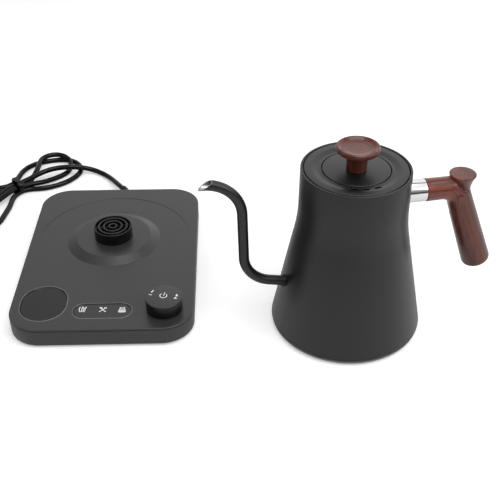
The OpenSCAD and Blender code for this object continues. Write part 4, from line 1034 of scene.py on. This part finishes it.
class KETTLE_OT_handle(bpy.types.Operator):
    """Wooden handle with its thumb rest, and the polished ferrule"""
    bl_idname = "kettle.handle"
    bl_label = "Handle and ferrule"

    ARM_AT = (0, 0, 128.8)        # the arm and the ferrule run out from the axis at this height
    GRIP_AT = (119.29, 0, 50)     # foot of the grip
    TILT = radians(20.9)          # of the grip from upright

    def execute(self, context):
        handle = self.wood()
        from_x, to_x = KETTLE.x + 0.094, KETTLE.x + 0.08
        # Towards the arm the wood takes its second grain and a painted paler tone, a painted light on the arm.
        wood = hardwood("Hardwood handle, oiled", (0, -self.TILT, YAW), KETTLE + Vector((0.1, 0, 0.1288)),
                        {"turn": (0, pi / 2, YAW), "from": from_x, "to": to_x})
        enter(on_kettle(handle), wood, "kettle", "carved_wood", "wooden_handle")

        ferrule = turned("Handle_ferrule", [(0, 38), (9.6, 38), (9.6, 60.9, 0.25), (0, 60.9)],
                         turn=(0, pi / 2, 0), steps=128)
        carve(stand(ferrule, self.ARM_AT), drum(44.9, 110, 150, steps=160))
        enter(on_kettle(smooth(ferrule, 40)), "steel", "kettle", "polished_steel", "handle_ferrule")
        return {"FINISHED"}

    def wood(self):
        """Arm, grip and thumb rest in one, with a worked inner corner."""
        arm = stand(turned("Wooden_handle", [
            (0, 61), (9.95, 61, 0.5), (9.75, 64), (9.7, 93.2), (0, 93.2)], turn=(0, pi / 2, 0)), self.ARM_AT)
        top = (self.ARM_AT[2] - 3 - self.GRIP_AT[2]) / cos(self.TILT)
        grip = stand(turned("Grip", [
            (0, 0), (12.6, 0, 3.4), (10.8, top - 1, 1.5), (9.8, top + 1), (0, top + 2)],
            turn=(0, -self.TILT, 0), corner_steps=8), self.GRIP_AT)
        # The thumb rest is a level head on a cone that leans back.
        thumb = turned("Thumb_rest", [
            (0, -2.4), (10.7, -2.4), (11.5, -0.9, 0.3), (11.5, -0.5, 0.3), (11.1, 0, 0.3), (0, 0)])
        neck = turned("Thumb_neck", [
            (0, -20), (6.6, -20), (6.8, -13, 6), (7.6, -9.5, 6), (9, -6, 6), (11, -1.6), (0, -1.6)],
            turn=(0, -radians(6), 0))
        stand(carve(thumb, neck, "UNION"), (93.5, 0, 141.7))
        carve(arm, grip, "UNION")
        # Beside the thumb rest the arm's end is mitred and the top of the grip is cut down to its neck.
        for turn in (8.5, -36.7):
            carve(arm, block(40, (0.5, 0, 0.5), turn, (91.8, 0, 127.6)))
        carve(arm, thumb, "UNION")
        carve(arm, ball(9.5, (85.7, 0, 125.5)), "UNION")
        modify(arm, "REMESH", mode="VOXEL", voxel_size=sizes().voxel)
        modify(arm, "SMOOTH", factor=0.5, iterations=2)
        # The inner corner between the arm and the grip is worked into a round; the elbow's outside is left.
        corner, elbow, inward = (Vector(at) for at in ((0.085, 0, 0.118), (0.089, 0, 0.125), (-0.59, 0, -0.81)))
        edit(arm)
        pick(arm, "FACE", lambda at, way: (at - corner).length < 15 * MM and (at - elbow).dot(inward) > 3 * MM)
        bpy.ops.mesh.vertices_smooth(factor=0.5, repeat=60)
        bpy.ops.object.mode_set(mode="OBJECT")
        return smooth(arm, 70)


# ---------------------------------------------------------------- pieces that keep their CAD shape

class KETTLE_OT_inner(bpy.types.Operator):
    """Finishes for the pieces that keep their CAD shape"""
    bl_idname = "kettle.inner"
    bl_label = "Inner pieces"

    # By material slot; the others are black nylon.
    FINISH_OF = {
        "screw_steel": "zinc", "encoder_metal": "zinc", "shaft_steel": "zinc", "circuit_board": "board",
        "relay_blue": "blue", "transformer_tape": "tape", "contact_brass": "brass", "rotor_plastic": "natural",
        "inner_steel": "brushed", "heater_aluminium": "aluminium", "heater_sheath": "brushed",
        "silicone_seal": "seal", "lid_gasket_rubber": "rubber", "foot_rubber": "rubber"}

    def execute(self, context):
        for part in frame["record"]["subparts"]:
            cad = frame["nodes"][part["node"]]
            if not cad.hide_render:
                dress(cad, self.FINISH_OF.get(part["material_slot"], "black"))
        return {"FINISHED"}


# ---------------------------------------------------------------- panel and run

OPERATORS = (KETTLE_OT_stage, KETTLE_OT_cord, KETTLE_OT_base, KETTLE_OT_controls, KETTLE_OT_connector,
             KETTLE_OT_dial, KETTLE_OT_body, KETTLE_OT_lid, KETTLE_OT_spout, KETTLE_OT_handle,
             KETTLE_OT_inner)


class KETTLE_PT_panel(bpy.types.Panel):
    """Buttons for the pieces, and the sizes and colours they take"""
    bl_idname = "KETTLE_PT_panel"
    bl_label = "Gooseneck kettle"
    bl_space_type = "VIEW_3D"
    bl_region_type = "UI"
    bl_category = "Kettle"

    def draw(self, context):
        for group in (context.scene.kettle_sizes, context.scene.kettle_finishes):
            for key in group.bl_rna.properties.keys():
                if key not in ("rna_type", "name"):
                    self.layout.prop(group, key)
        for operator in OPERATORS:
            self.layout.operator(operator.bl_idname)


CLASSES = (KettleFinishes, KettleSizes, *OPERATORS, KETTLE_PT_panel)


def register():
    for made in CLASSES:
        bpy.utils.register_class(made)
    bpy.types.Scene.kettle_finishes = bpy.props.PointerProperty(type=KettleFinishes)
    bpy.types.Scene.kettle_sizes = bpy.props.PointerProperty(type=KettleSizes)


def unregister():
    del bpy.types.Scene.kettle_sizes
    del bpy.types.Scene.kettle_finishes
    for made in reversed(CLASSES):
        bpy.utils.unregister_class(made)


def main():
    register()
    for operator in OPERATORS:
        getattr(bpy.ops.kettle, operator.bl_idname.split(".")[1])()
    clear()


if __name__ == "__main__":
    main()
